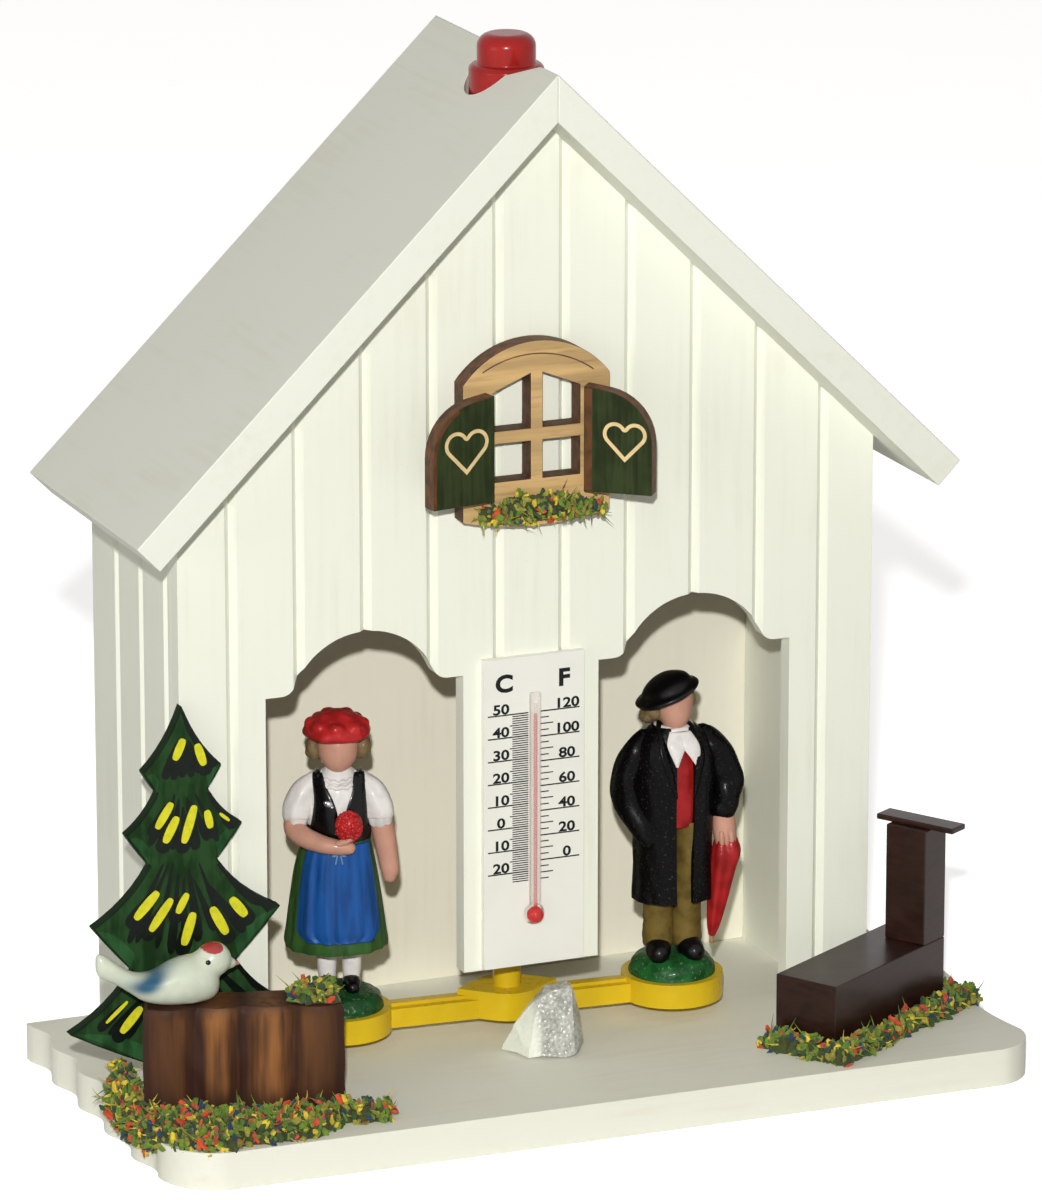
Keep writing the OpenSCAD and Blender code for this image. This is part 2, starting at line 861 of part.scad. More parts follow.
module window_moss() {
    lump_r = 2.2;
    color("olivedrab")
        translate([-window_left, window_y, window_z])
            rotate([90, 0, 0]) {
                moss_row([-4.4, 3.7], [4.4, 3.5], 6, lump_r * 0.9, moss_h * 1.2, 3);
                moss_row([-8, 2.5], [9, 2.3], 11, lump_r * 0.8, moss_h, 4);
            }
}

// One side of the fir tree's outline from the tip down, with a reach for each of its branches
function tree_side(reach) =
    let (
        w = tree_half,
        h = tree_h,
        tips = [[0.35 * w, 0.84 * h], [0.53 * w, 0.685 * h], [0.865 * w, 0.457 * h], [w, 0.192 * h]],
        nooks = [[0.225 * w, 0.783 * h], [0.3 * w, 0.6 * h], [0.46 * w, 0.334 * h], [0.3 * w, 0.085 * h]],
        starts = [[0, h], nooks[0], nooks[1], nooks[2]]
    )
    concat(
        [[0, h]],
        [
            for (k = [0:3])
                let (
                    s = starts[k],
                    t = [tips[k].x * reach[k], tips[k].y],
                    n = nooks[k],
                    bend = [s.x + (t.x - s.x) * 0.35, t.y + (s.y - t.y) * 0.38],
                    hem = (t + n) / 2 - [0, 0.006 * h]
                )
                each concat(bezier(s, bend, t, 6), bezier(t, hem, n, 3))
        ],
        [[trunk_w / 2, 0.07 * h], [trunk_w / 2, 0]]
    );

module fir_tree() {
    color("darkgreen")
        translate([tree_x, 0, 0])
            upright(front_y - tree_t, tree_t)
                polygon(concat(tree_side([1, 1, 1, 1]), mirrored(tree_side([1, 0.96, 0.94, 1.03]))));
}

// Places in the stump's own plan: x along its front face, y towards the house
module at_stump(z) {
    translate([stump_x, stump_y, floor_z + z])
        rotate(stump_turn)
            children();
}

module tree_stump() {
    lobe = stump_len / stump_lobes;
    steps = 6 * stump_lobes;
    front = [
        for (i = [0:steps])
            let (x = stump_len * i / steps)
            [x, stump_bulge * (1 - abs(sin(180 * x / lobe)))]
    ];
    color("saddlebrown")
        difference() {
            at_stump(0)
                linear_extrude(stump_h)
                    polygon(concat(front, [[stump_len - 0.6, stump_d], [0.6, stump_d]]));
            translate([-house_w, front_y - tree_t - stump_gap, 0])
                cube([house_w, house_d, 2 * stump_h]);
        }
}

module bird() {
    color("azure")
        at_stump(stump_h)
            translate([6.6, 4, 0])
                rotate(-stump_turn) {
                    limb([1.4, 0, 3.5], 3.4, [-2.2, 0, 3.4], 3.2);
                    limb([-2.2, 0, 3.4], 3.2, [-6.8, 0, 3.4], 2.1);
                    limb([-6.8, 0, 3.4], 2.1, [-10.6, 0, 5.7], 1.6);
                    limb([-10.6, 0, 5.7], 1.6, [-11.9, 0, 7], 1.8);
                    limb([2.2, 0, 4.4], 2.8, [4.2, 0, 6], 2.5);
                    limb([5.8, 0, 5.3], 1.4, [7.8, 0, 4.9], 0.4);
                    translate([-0.5, 0, 0])
                        hull()
                            cylinder(h = 1.6, r = 2.2, $fn = 16);
                }
}

module stump_moss() {
    color("olivedrab")
        at_stump(stump_h) {
            moss_row([23.1, 3], [27.5, 2.8], 4, 1.9, 0.85 * moss_h, 5);
            moss_row([23.3, 5.8], [27.3, 5.6], 4, 1.8, 0.85 * moss_h, 6);
        }
}

module left_moss() {
    r = 2.5;
    edge_y = front_y - garden_left + 2.1;
    color("olivedrab") {
        translate([0, 0, floor_z])
            moss_row([-half_w - 3.6, edge_y + 0.9], [-half_w + 10.4, edge_y], 8, 0.8 * r, moss_h, 14);
        at_stump(0) {
            moss_row([r, -r - moss_gap], [stump_len + 5, -r - moss_gap], 12, r, moss_h, 7);
            moss_row([1.6 * r, -2.6 * r], [stump_len - 4, -2.4 * r], 9, r, moss_h, 8);
            moss_row([7.4, -3.7 * r], [stump_len - 7.5, -3.4 * r], 6, r, moss_h, 9);
            moss_row([-1.5, stump_d + 1.9], [-2.9, stump_d + 8.4], 4, 0.84 * r, moss_h, 13);
        }
    }
}

// Places in the trough's own plan: x along its long front face, y towards the house
module at_trough(z) {
    translate([trough_x, trough_y, floor_z + z])
        rotate(trough_turn)
            children();
}

module well_trough() {
    color("saddlebrown")
        at_trough(0)
            cube([trough_len, trough_w, trough_h]);
}

module well_post() {
    color("saddlebrown")
        at_trough(trough_h)
            translate([trough_len - well_post_d, 0, 0])
                cube([well_post_d, well_post_w, well_post_h]);
}

module post_cap() {
    color("saddlebrown")
        at_trough(trough_h + well_post_h)
            translate([trough_len - (well_post_d + cap_d) / 2, (well_post_w - cap_len) / 2 - cap_shift, 0])
                cube([cap_d, cap_len, cap_t]);
}

module right_moss() {
    r = 2.4;
    color("olivedrab")
        at_trough(0) {
            moss_row([-r, -r - moss_gap], [trough_len + 2, -r - moss_gap], 14, r, moss_h, 10);
            moss_row([-r - moss_gap, 0], [-r - moss_gap, trough_w - 1], 5, r, moss_h, 11);
            moss_row([trough_len + r, 1], [trough_len + r, 7], 3, 0.8 * r, moss_h, 12);
        }
}

module quartz_stone() {
    corners = [
        [-0.5, 0.29, 0], [-0.31, -0.15, 0], [0.28, -0.32, 0], [0.5, 0, 0], [0.31, 0.37, 0],
        [-0.16, 0.45, 0], [-0.39, 0.16, 0.42], [-0.21, -0.08, 0.5], [-0.04, 0.06, 0.88],
        [0.32, -0.05, 0.98], [0.36, 0.16, 1], [0.08, 0.24, 0.94], [0.47, -0.02, 0.46]
    ];
    color("whitesmoke")
        translate([0, front_y - stone_front, floor_z])
            hull()
                polyhedron(
                    [for (c = corners) [c.x * stone_w, c.y * stone_w, c.z * stone_h]],
                    [for (i = [0:len(corners) - 3]) [i, i + 1, i + 2]]
                );
}

base_board();
base_screws();
front_wall();
left_wall();
right_wall();
back_panel();
left_roof_panel();
right_roof_panel();
ridge_block();
chimney_knob();
knob_collar();
gut_string();
gut_ferrule();
swing_bar();
stem_guide();
woman_figure();
man_figure();
thermometer_plate();
thermometer_tube();
thermometer_spirit();
window_frame();
left_shutter();
right_shutter();
window_moss();
fir_tree();
tree_stump();
bird();
stump_moss();
left_moss();
well_trough();
well_post();
post_cap();
right_moss();
quartz_stone();
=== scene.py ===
"""Weather house: paint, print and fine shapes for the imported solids, and a plain studio round them."""

import math
import random

import bmesh
import bpy
from bpy.props import FloatProperty, FloatVectorProperty, IntProperty, PointerProperty
from bpy.types import Operator, Panel, PropertyGroup
from mathutils import Euler, Matrix, Vector, noise


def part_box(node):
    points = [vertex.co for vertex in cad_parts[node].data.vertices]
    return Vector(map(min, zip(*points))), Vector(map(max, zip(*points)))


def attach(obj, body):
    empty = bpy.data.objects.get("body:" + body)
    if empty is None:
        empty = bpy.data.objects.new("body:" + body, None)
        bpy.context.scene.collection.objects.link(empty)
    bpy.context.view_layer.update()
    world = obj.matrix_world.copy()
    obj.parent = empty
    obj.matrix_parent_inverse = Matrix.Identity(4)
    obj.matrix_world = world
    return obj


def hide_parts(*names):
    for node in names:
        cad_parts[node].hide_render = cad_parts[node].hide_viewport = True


bl_info = {
    "name": "Weather house",
    "version": (1, 0, 0),
    "blender": (4, 5, 0),
    "location": "View3D > Sidebar > Weather house",
    "description": "Dresses the solids of a weather house and sets a plain studio round it",
    "category": "Object",
}

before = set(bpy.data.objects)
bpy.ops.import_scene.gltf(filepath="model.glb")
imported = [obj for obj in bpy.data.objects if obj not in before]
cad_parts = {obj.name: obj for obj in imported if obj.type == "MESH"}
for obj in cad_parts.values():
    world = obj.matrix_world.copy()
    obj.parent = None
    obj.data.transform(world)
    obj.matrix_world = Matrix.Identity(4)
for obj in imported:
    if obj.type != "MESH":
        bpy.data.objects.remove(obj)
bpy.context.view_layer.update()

# Places and sizes in millimetres, and turns in degrees

MM = 0.001


def box_mm(node):
    """Lowest and highest corner of a node, in millimetres to the nearest micron."""
    return [[round(part / MM, 3) for part in corner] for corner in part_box(node)]


FLOOR_Z = box_mm("base_board")[1][2]
AXIS_Y = round(sum(corner[1] for corner in box_mm("gut_string")) / 2, 3)
ARM = 26.2
DISC_TOP = 11.2
REST_TURN = -4.2
STUMP_LEN = 29.5
STUMP_LOBES = 4
STUMP_TURN = -17.4
STUMP_PLACE = (-64.9, -13.725)
# Height at which print and thin paint start, below the face that they lie on
SUNK = -0.02
# Share of a face's normal from which it counts as facing a way
FACING = 0.9
# Seed of the smooth noise, so that every run gives the same shapes
NOISE_SEED = 1


# Settings that a user would change


def srgb(red, green, blue):
    """Linear colour of a screen colour given in 0 to 255."""
    parts = (red / 255, green / 255, blue / 255)
    return tuple(p / 12.92 if p <= 0.04045 else ((p + 0.055) / 1.055) ** 2.4 for p in parts)


def tone(name, text, red, green, blue):
    """Setting for a colour, given as a screen colour."""
    return FloatVectorProperty(
        name=name, description=text, default=srgb(red, green, blue), subtype="COLOR", min=0, max=1
    )


def length(name, text, millimetres):
    """Setting for a length."""
    return FloatProperty(
        name=name, description=text, default=millimetres * MM, min=0, unit="LENGTH", precision=5
    )


class HouseLook(PropertyGroup):
    wall: tone("Walls", "Paint of the front and the side walls", 242, 244, 231)
    # The roof is the walls' white, darkened a little as painted shade
    roof: tone("Roof", "Paint of the two roof panels", 237, 239, 228)
    base: tone("Base", "Paint of the base board", 241, 241, 228)
    back: tone("Back", "Paint of the back panel", 240, 236, 220)
    stain: tone("Stain", "Warm tone in worn or thin paint", 196, 184, 154)
    wood: tone("Bare wood", "Wood of the hidden blocks", 206, 168, 118)
    edge: length("Edge", "Rounding of the sawn edges", 0.22)


class WorksLook(PropertyGroup):
    bar: tone("Swing bar", "Moulded bar that carries the figures", 226, 191, 32)
    knob: tone("Knob", "Turned chimney knob", 166, 33, 30)
    steel: tone("Steel", "Collar and screws", 150, 152, 156)
    brass: tone("Brass", "Ferrule on the gut", 196, 152, 74)
    gut: tone("Gut", "Twisted gut string", 214, 190, 138)


class ThermometerLook(PropertyGroup):
    plate: tone("Plate", "White scale plate", 240, 240, 232)
    ink: tone("Ink", "Printed lines and numbers", 22, 22, 26)
    spirit: tone("Spirit", "Coloured spirit in the tube", 206, 10, 12)
    figure: length("Number height", "Height of the printed numbers", 2.1)
    letter: length("Letter height", "Height of the two unit letters", 3.6)
    line: length("Line", "Thickness of the printed lines", 0.2)


class WindowLook(PropertyGroup):
    ply: tone("Ply", "Face of the window frame", 214, 177, 120)
    burnt: tone("Burnt edge", "Edges scorched by the cut", 92, 58, 34)
    shutter: tone("Shutter", "Stain on the shutters", 46, 56, 30)
    heart: tone("Heart", "Line of the hearts", 232, 206, 152)
    heart_width: length("Heart width", "Width across a heart", 7.4)


class GardenLook(PropertyGroup):
    fir: tone("Fir", "Green of the fir", 40, 70, 38)
    fir_light: tone("Fir hem", "Lighter green along the branches' lower edges", 46, 88, 50)
    fir_dark: tone("Fir dark", "Near black strokes and edges", 14, 22, 16)
    dab: tone("Dab", "Yellow dabs on the branches", 226, 222, 48)
    bark: tone("Bark", "Dark stain in the stump's creases", 52, 29, 19)
    bark_highlight: tone("Bark light", "Worn middles of the stump's flutes", 160, 106, 60)
    bird: tone("Bird", "White of the bird", 216, 224, 205)
    # Colour of the painted highlight along the middles of the stump's flutes
    bird_blue: tone("Bird blue", "Blue on the bird's back", 20, 82, 112)
    bird_red: tone("Bird red", "Crown and beak", 172, 32, 40)
    varnish: tone("Varnish", "Dark varnish of the well", 45, 24, 18)
    quartz: tone("Quartz", "White stone", 190, 191, 182)
    crumb: length("Crumb", "Length of a crumb of moss", 1.75)
    crumbs: IntProperty(name="Crumbs", description="Crumbs of moss on each square centimetre of tuft",
                        default=130, min=10, max=400)


class FigureLook(PropertyGroup):
    skin: tone("Skin", "Faces, arms and hands", 203, 152, 132)
    hair: tone("Hair", "Dull brown hair", 128, 108, 78)
    red: tone("Red", "Hat, posy, vest and umbrella", 190, 40, 42)
    blue: tone("Blue", "Apron", 26, 84, 158)
    green: tone("Green", "Skirt", 56, 96, 44)
    foot: tone("Foot", "Domed feet", 28, 96, 44)
    black: tone("Black", "Coat, hat, bodice and shoes", 10, 9, 10)
    white: tone("White", "Blouse, socks and kerchief", 236, 232, 230)
    olive: tone("Olive", "Trousers", 117, 98, 48)
    silver: tone("Silver", "Clasp on the bodice", 190, 194, 200)


class StudioLook(PropertyGroup):
    floor: tone("Floor", "Pale floor", 222, 222, 222)
    key: FloatProperty(name="Key", description="Power of the lamp above the camera", default=9.4,
                       min=0, unit="POWER")
    fill: FloatProperty(name="Fill", description="Strength of the even light from all round",
                        default=0.15, min=0, subtype="FACTOR")
    side: FloatProperty(name="Side", description="Power of the broad lamp at the left", default=2.4,
                        min=0, unit="POWER")
    lamp: length("Lamp", "Width of the lamp above the camera", 24.0)
    lens: FloatProperty(name="Lens", description="Focal length in millimetres", default=223.82, min=1,
                        unit="CAMERA")
    eye: FloatVectorProperty(name="Eye", description="Place of the camera", subtype="TRANSLATION",
                             default=(-0.40571, -0.97200, 0.37291), unit="LENGTH")
    aim: FloatVectorProperty(name="Aim", description="Point in the middle of the picture",
                             subtype="TRANSLATION", default=(-0.00009, -0.00003, 0.07299), unit="LENGTH")


class WeatherHouse(PropertyGroup):
    house: PointerProperty(type=HouseLook)
    works: PointerProperty(type=WorksLook)
    thermometer: PointerProperty(type=ThermometerLook)
    window: PointerProperty(type=WindowLook)
    garden: PointerProperty(type=GardenLook)
    figures: PointerProperty(type=FigureLook)
    studio: PointerProperty(type=StudioLook)


# Finishes, written as expressions


class Line:
    """A value in a shader that takes part in Python expressions."""

    def __init__(self, finish, socket):
        self.finish = finish
        self.socket = socket

    def math(self, operation, first, second):
        return self.finish.add("Math", {"operation": operation}, {0: first, 1: second})

    def __add__(self, other):
        return self.math("ADD", self, other)

    def __sub__(self, other):
        return self.math("SUBTRACT", self, other)

    def __rsub__(self, other):
        return self.math("SUBTRACT", other, self)

    def __mul__(self, other):
        return self.math("MULTIPLY", self, other)

    __radd__ = __add__
    __rmul__ = __mul__


class Finish:
    """The node tree of a material or of the world."""

    def __init__(self, owner):
        self.owner = owner
        owner.use_nodes = True
        self.tree = owner.node_tree
        self.tree.nodes.clear()

    def add(self, kind, settings=None, sockets=None, out=0):
        """Add a node: its settings first, then the values or links of its sockets."""
        node = self.tree.nodes.new("ShaderNode" + kind)
        for name, value in (settings or {}).items():
            setattr(node, name, value)
        for name, value in (sockets or {}).items():
            socket = node.inputs[name]
            if isinstance(value, Line):
                self.tree.links.new(value.socket, socket)
            elif socket.type == "RGBA":
                socket.default_value = (*value[:3], 1)
            else:
                socket.default_value = value
        return Line(self, node.outputs[out]) if len(node.outputs) else node

    def place(self):
        """Where a point of the surface is, in metres."""
        return self.add("TexCoord", out="Object")

    def noise(self, size, stretch=(1, 1, 1), detail=2.0):
        """Cloudy noise with spots of about that size, in millimetres."""
        where = self.add("Mapping", {}, {"Vector": self.place(), "Scale": stretch})
        return self.add("TexNoise", {}, {"Vector": where, "Scale": 1 / (size * MM), "Detail": detail})

    def fade(self, value, low, high):
        """Soft step from 0 to 1 as a value goes from low to high."""
        sockets = {"Value": value, "From Min": low, "From Max": high}
        return self.add("MapRange", {"interpolation_type": "SMOOTHSTEP"}, sockets)

    def mix(self, factor, first, second):
        """Colour between two colours."""
        return self.add("Mix", {"data_type": "RGBA"}, {0: factor, 6: first, 7: second}, 2)

    def along(self, direction, start=(0, 0, 0)):
        """Distance in millimetres from a start point along a direction."""
        shift = self.add("VectorMath", {"operation": "SUBTRACT"},
                         {0: self.place(), 1: Vector(start) * MM})
        sockets = {0: shift, 1: Vector(direction).normalized() / MM}
        return self.add("VectorMath", {"operation": "DOT_PRODUCT"}, sockets, "Value")

    def surface(self, shade, roughness, height=None, depth=0.03, **constants):
        """Close the material with one coat, and a relief of that depth in millimetres."""
        sockets = {"Base Color": shade, "Roughness": roughness}
        for name, value in constants.items():
            sockets[name.replace("_", " ").title().replace("Ior", "IOR")] = value
        if height is not None:
            sockets["Normal"] = self.add("Bump", {}, {"Distance": depth * MM, "Height": height})
        shader = self.add("BsdfPrincipled", {}, sockets)
        self.add("OutputMaterial", {}, {"Surface": shader})
        return self.owner


def finish(name):
    """New material, still empty."""
    return Finish(bpy.data.materials.new(name))


def scaled(shade, share):
    """Darker or lighter copy of a colour."""
    return tuple(min(1, c * share) for c in shade)


def wood_paint(name, shade, stain, grain):
    """Thin paint on wood: cloudy, with faint grain along one axis and a skin of fine dimples."""
    f = finish(name)
    cloud = f.noise(16, detail=4)
    fibre = f.noise(1.2, grain, 3)
    dimple = f.noise(0.45)
    patchy = f.fade(cloud * 0.5 + fibre * 0.5, 0.48, 0.78)
    speck = f.fade(dimple, 0.68, 0.8)
    shade = f.mix(patchy * 0.16, tuple(shade), tuple(stain))
    shade = f.mix(speck * 0.1, shade, scaled(stain, 0.8))
    return f.surface(shade, 0.45 + 0.22 * cloud, fibre * 0.6 + dimple * 0.4, 0.035, specular_ior_level=0.2)


def gloss(name, shade, roughness=0.3, patch=3.0, lump=0.7, depth=0.03, coat=0.3, shadow=0.72,
          stretch=(1, 1, 1)):
    """Moulded plastic or enamel: patches of a slow change of tone and a finely lumpy skin."""
    f = finish(name)
    cloud = f.noise(patch, stretch, 3)
    skin = f.noise(lump)
    shade = f.mix(f.fade(cloud, 0.3, 0.65), scaled(shade, shadow), tuple(shade))
    rough = roughness - 0.06 + 0.14 * skin
    return f.surface(shade, rough, cloud * 0.6 + skin * 0.4, depth, specular_ior_level=0.15,
                     coat_weight=0.35 * coat, coat_roughness=0.1)


def bare_wood(name, shade, grain):
    """Planed wood with year rings drawn out along one axis."""
    f = finish(name)
    ring = f.noise(2.6, grain, 4)
    fibre = f.noise(0.5, grain, 2)
    shade = f.mix(f.fade(ring, 0.38, 0.62), scaled(shade, 0.7), tuple(shade))
    shade = f.mix(f.fade(fibre, 0.5, 0.75) * 0.35, shade, srgb(120, 86, 52))
    return f.surface(shade, 0.55 + 0.2 * fibre, ring * 0.5 + fibre * 0.5, 0.05)


def metal(name, shade, brushed):
    """Brushed metal with dull patches."""
    f = finish(name)
    scratch = f.noise(0.35, brushed, 3)
    dull = f.noise(2.5)
    shade = f.mix(f.fade(dull, 0.35, 0.7), scaled(shade, 0.7), tuple(shade))
    return f.surface(shade, 0.22 + 0.25 * scratch, scratch, 0.01, metallic=1.0)


# Shapes


def spot(x, y, z):
    """Point in metres of a place in millimetres."""
    return Vector((x, y, z)) * MM


def mark(faces, index):
    """Put faces in one of a piece's finishes."""
    for face in faces:
        face.material_index = index


def loft(bm, rings, index=0):
    """Skin closed rings of points, first to last, into one closed shell."""
    rows = [[bm.verts.new(p) for p in ring] for ring in rings]
    count = len(rows[0])
    faces = [bm.faces.new(rows[0][::-1]), bm.faces.new(rows[-1])]
    for low, high in zip(rows, rows[1:]):
        for i in range(count):
            j = (i + 1) % count
            faces.append(bm.faces.new((low[i], low[j], high[j], high[i])))
    mark(faces, index)


def oval(z, rx, ry, cols=32, centre=(0, 0), wave=None):
    """Level ring of points. wave gives the share of the radius at an angle."""
    ring = []
    for i in range(cols):
        a = 2 * math.pi * i / cols
        share = wave(a) if wave else 1
        ring.append(Vector((centre[0] + rx * share * math.cos(a), centre[1] + ry * share * math.sin(a), z)))
    return ring


def ball(bm, centre, radii, turn=(0, 0, 0), index=0, cols=18, rows=12):
    """Ellipsoid, turned by angles in degrees."""
    turned = Euler([math.radians(t) for t in turn]).to_matrix().to_4x4()
    matrix = Matrix.Translation(centre) @ turned @ Matrix.Diagonal((*radii, 1))
    rings = []
    for row in range(1, rows):
        b = math.pi * row / rows
        ring = oval(math.cos(b), math.sin(b), math.sin(b), cols)
        rings.append([bm.verts.new(matrix @ p) for p in ring])
    top = bm.verts.new(matrix @ Vector((0, 0, 1)))
    foot = bm.verts.new(matrix @ Vector((0, 0, -1)))
    faces = []
    for i in range(cols):
        j = (i + 1) % cols
        faces.append(bm.faces.new((top, rings[0][i], rings[0][j])))
        for high, low in zip(rings, rings[1:]):
            faces.append(bm.faces.new((high[i], low[i], low[j], high[j])))
        faces.append(bm.faces.new((foot, rings[-1][j], rings[-1][i])))
    mark(faces, index)
    return [top, foot, *(vert for ring in rings for vert in ring)]


def curve(points, steps):
    """Smooth path through points of any number of parts."""
    ends = [points[0], *points, points[-1]]
    path = []
    for a, b, c, d in zip(ends, ends[1:], ends[2:], ends[3:]):
        for i in range(steps):
            t = i / steps
            path.append([
                0.5 * (2 * q + (r - p) * t + (2 * p - 5 * q + 4 * r - s) * t * t
                       + (3 * q - p - 3 * r + s) * t ** 3)
                for p, q, r, s in zip(a, b, c, d)
            ])
    path.append(list(points[-1]))
    return path


def limb(bm, stations, index=0, cols=14, steps=4, wave=None, flat=1.0):
    """Rounded limb through stations of x, y, z and radius."""
    path = curve(stations, steps)
    points = [Vector(p[:3]) for p in path]
    heads = [(points[min(i + 1, len(points) - 1)] - points[max(i - 1, 0)]).normalized()
             for i in range(len(points))]
    side = heads[0].orthogonal().normalized()
    rings = []

    def ring(centre, head, radius, t):
        nonlocal side
        side = (side - head * side.dot(head)).normalized()
        other = head.cross(side)
        made = []
        for k in range(cols):
            a = 2 * math.pi * k / cols
            share = radius * (wave(a, t) if wave else 1)
            made.append(centre + side * share * math.cos(a) + other * share * flat * math.sin(a))
        rings.append(made)

    tips = (80, 55, 28)
    for angle in tips:
        a = math.radians(angle)
        ring(points[0] - heads[0] * path[0][3] * math.sin(a), heads[0], path[0][3] * math.cos(a), 0)
    for i, (point, head) in enumerate(zip(points, heads)):
        ring(point, head, path[i][3], i / (len(points) - 1))
    for angle in tips[::-1]:
        a = math.radians(angle)
        ring(points[-1] + heads[-1] * path[-1][3] * math.sin(a), heads[-1], path[-1][3] * math.cos(a), 1)
    loft(bm, rings, index)


def slab(bm, outline, place, low, high, index=0):
    """Flat piece with a given outline. place turns u, v and height into a point."""
    loft(bm, [[place(u, v, height) for u, v in outline] for height in (low, high)], index)


def leaf(a, b, width, points=12, blunt=0.5):
    """Outline of a brush dab from a to b."""
    a, b = Vector(a), Vector(b)
    head = b - a
    side = Vector((-head.y, head.x)).normalized() * width / 2
    outline = []
    for i in range(2 * points):
        t = math.pi * i / points
        swell = abs(math.sin(t)) ** blunt * (1 if t < math.pi else -1)
        outline.append(a + head * (0.5 - 0.5 * math.cos(t)) + side * swell)
    return outline


def band(bm, path, width, place, low, high):
    """Line of even width along a path of u and v."""
    path = [Vector(p) for p in path]
    rings = []
    for before, p, after in zip(path[:1] + path, path, path[1:] + path[-1:]):
        head = (after - before).normalized()
        side = Vector((-head.y, head.x)) * width / 2
        corners = ((p + side, low), (p - side, low), (p - side, high), (p + side, high))
        rings.append([place(q.x, q.y, h) for q, h in corners])
    loft(bm, rings)


def arc(centre, radius, start, end, steps):
    """Points on a round stretch between two angles in degrees."""
    spread = [math.radians(start + (end - start) * i / steps) for i in range(steps + 1)]
    return [(centre[0] + radius * math.cos(a), centre[1] + radius * math.sin(a)) for a in spread]


def hoop(bm, rings, index=0):
    """Skin closed rings of points, and the last to the first, into one endless roll."""
    rows = [[bm.verts.new(p) for p in ring] for ring in rings]
    count = len(rows[0])
    for one, two in zip(rows, rows[1:] + rows[:1]):
        for i in range(count):
            j = (i + 1) % count
            bm.faces.new((one[i], one[j], two[j], two[i])).material_index = index


def rough(verts, depth, size, seed, stretch=(1, 1, 1)):
    """Push points about by smooth noise, in the mesh's own unit."""
    noise.seed_set(NOISE_SEED)
    for vert in verts:
        p = Vector(c * s / size for c, s in zip(vert.co, stretch)) + Vector((seed, 2 * seed, 0))
        vert.co += noise.noise_vector(p) * depth


def piece(name, bm, finishes, body, slot, nodes=(), matrix=None, sharp=40):
    """Make a named piece that rides on a body and stands for the solids it dresses."""
    if matrix is not None:
        bm.transform(matrix)
    bmesh.ops.recalc_face_normals(bm, faces=bm.faces[:])
    limit = math.radians(sharp)
    for face in bm.faces:
        face.smooth = True
    for edge in bm.edges:
        if len(edge.link_faces) == 2:
            edge.smooth = edge.calc_face_angle(0) < limit
    mesh = bpy.data.meshes.new(name)
    bm.to_mesh(mesh)
    bm.free()
    for material in finishes:
        mesh.materials.append(material)
    made = bpy.data.objects.new(name, mesh)
    bpy.context.scene.collection.objects.link(made)
    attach(made, body)
    if nodes:
        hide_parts(*nodes)
    return made


def welded(node):
    """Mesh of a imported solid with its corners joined."""
    bm = bmesh.new()
    bm.from_mesh(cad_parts[node].data)
    bmesh.ops.remove_doubles(bm, verts=bm.verts[:], dist=1e-6)
    return bm


def solid(node):
    """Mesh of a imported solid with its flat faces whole."""
    bm = welded(node)
    bmesh.ops.dissolve_limit(bm, angle_limit=math.radians(0.4), verts=bm.verts[:], edges=bm.edges[:])
    bm.normal_update()
    return bm


def soft_edged(name, bm, finishes, body, slot, nodes, edge, segments=2, sharp=32):
    """Piece with rounded edges that keep the flat faces flat."""
    made = piece(name, bm, finishes, body, slot, nodes, sharp=180)
    bevel = made.modifiers.new("Edges", "BEVEL")
    bevel.width = edge
    bevel.segments = segments
    bevel.limit_method = "ANGLE"
    bevel.angle_limit = math.radians(sharp)
    flat = made.modifiers.new("Flat", "WEIGHTED_NORMAL")
    flat.mode = "FACE_AREA"
    flat.weight = 100
    return made


def fuse(made, cell, rounds):
    """Melt the overlapping shapes of a piece into one skin, on a grid of that cell, and ease it."""
    melt = made.modifiers.new("Fuse", "REMESH")
    melt.mode = "VOXEL"
    melt.voxel_size = cell * MM
    melt.use_smooth_shade = True
    ease = made.modifiers.new("Ease", "SMOOTH")
    ease.factor = 0.5
    ease.iterations = rounds


def two_tone(bm, way):
    """Put the faces that look one way in the first finish and the others in the second."""
    for face in bm.faces:
        face.material_index = 0 if face.normal.dot(way) > FACING else 1


def coat_solid(node, material):
    """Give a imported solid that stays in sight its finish."""
    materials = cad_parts[node].data.materials
    materials.clear()
    materials.append(material)


# The house and its works


class WEATHER_OT_woodwork(Operator):
    """Paint the boards of the house and round their edges"""

    bl_idname = "weather_house.woodwork"
    bl_label = "Woodwork"
    bl_options = {"REGISTER", "UNDO"}

    def execute(self, context):
        house = context.scene.weather_house.house
        upright, level, sloped = (1, 1, 0.05), (0.05, 1, 1), (0.9, 0.05, 0.9)
        boards = (
            ("base_paint", house.base, level, ("base_board",)),
            ("wall_paint", house.wall, upright, ("front_wall", "left_wall", "right_wall")),
            ("back_paint", house.back, upright, ("back_panel",)),
            # The roof panels take the walls' white darkened a little: paint and painted shade
            ("roof_paint", house.roof, sloped, ("left_roof_panel", "right_roof_panel")),
        )
        bare = bare_wood("inside_wood", scaled(house.wood, 0.55), upright)
        for slot, shade, grain, nodes in boards:
            paint = wood_paint(slot, shade, house.stain, grain)
            for node in nodes:
                bm = solid(node)
                for face in bm.faces:
                    inside = node == "front_wall" and face.normal.y > FACING
                    face.material_index = 1 if inside else 0
                soft_edged("painted_" + node, bm, [paint, bare], "house", slot, [node], house.edge)
        return {"FINISHED"}


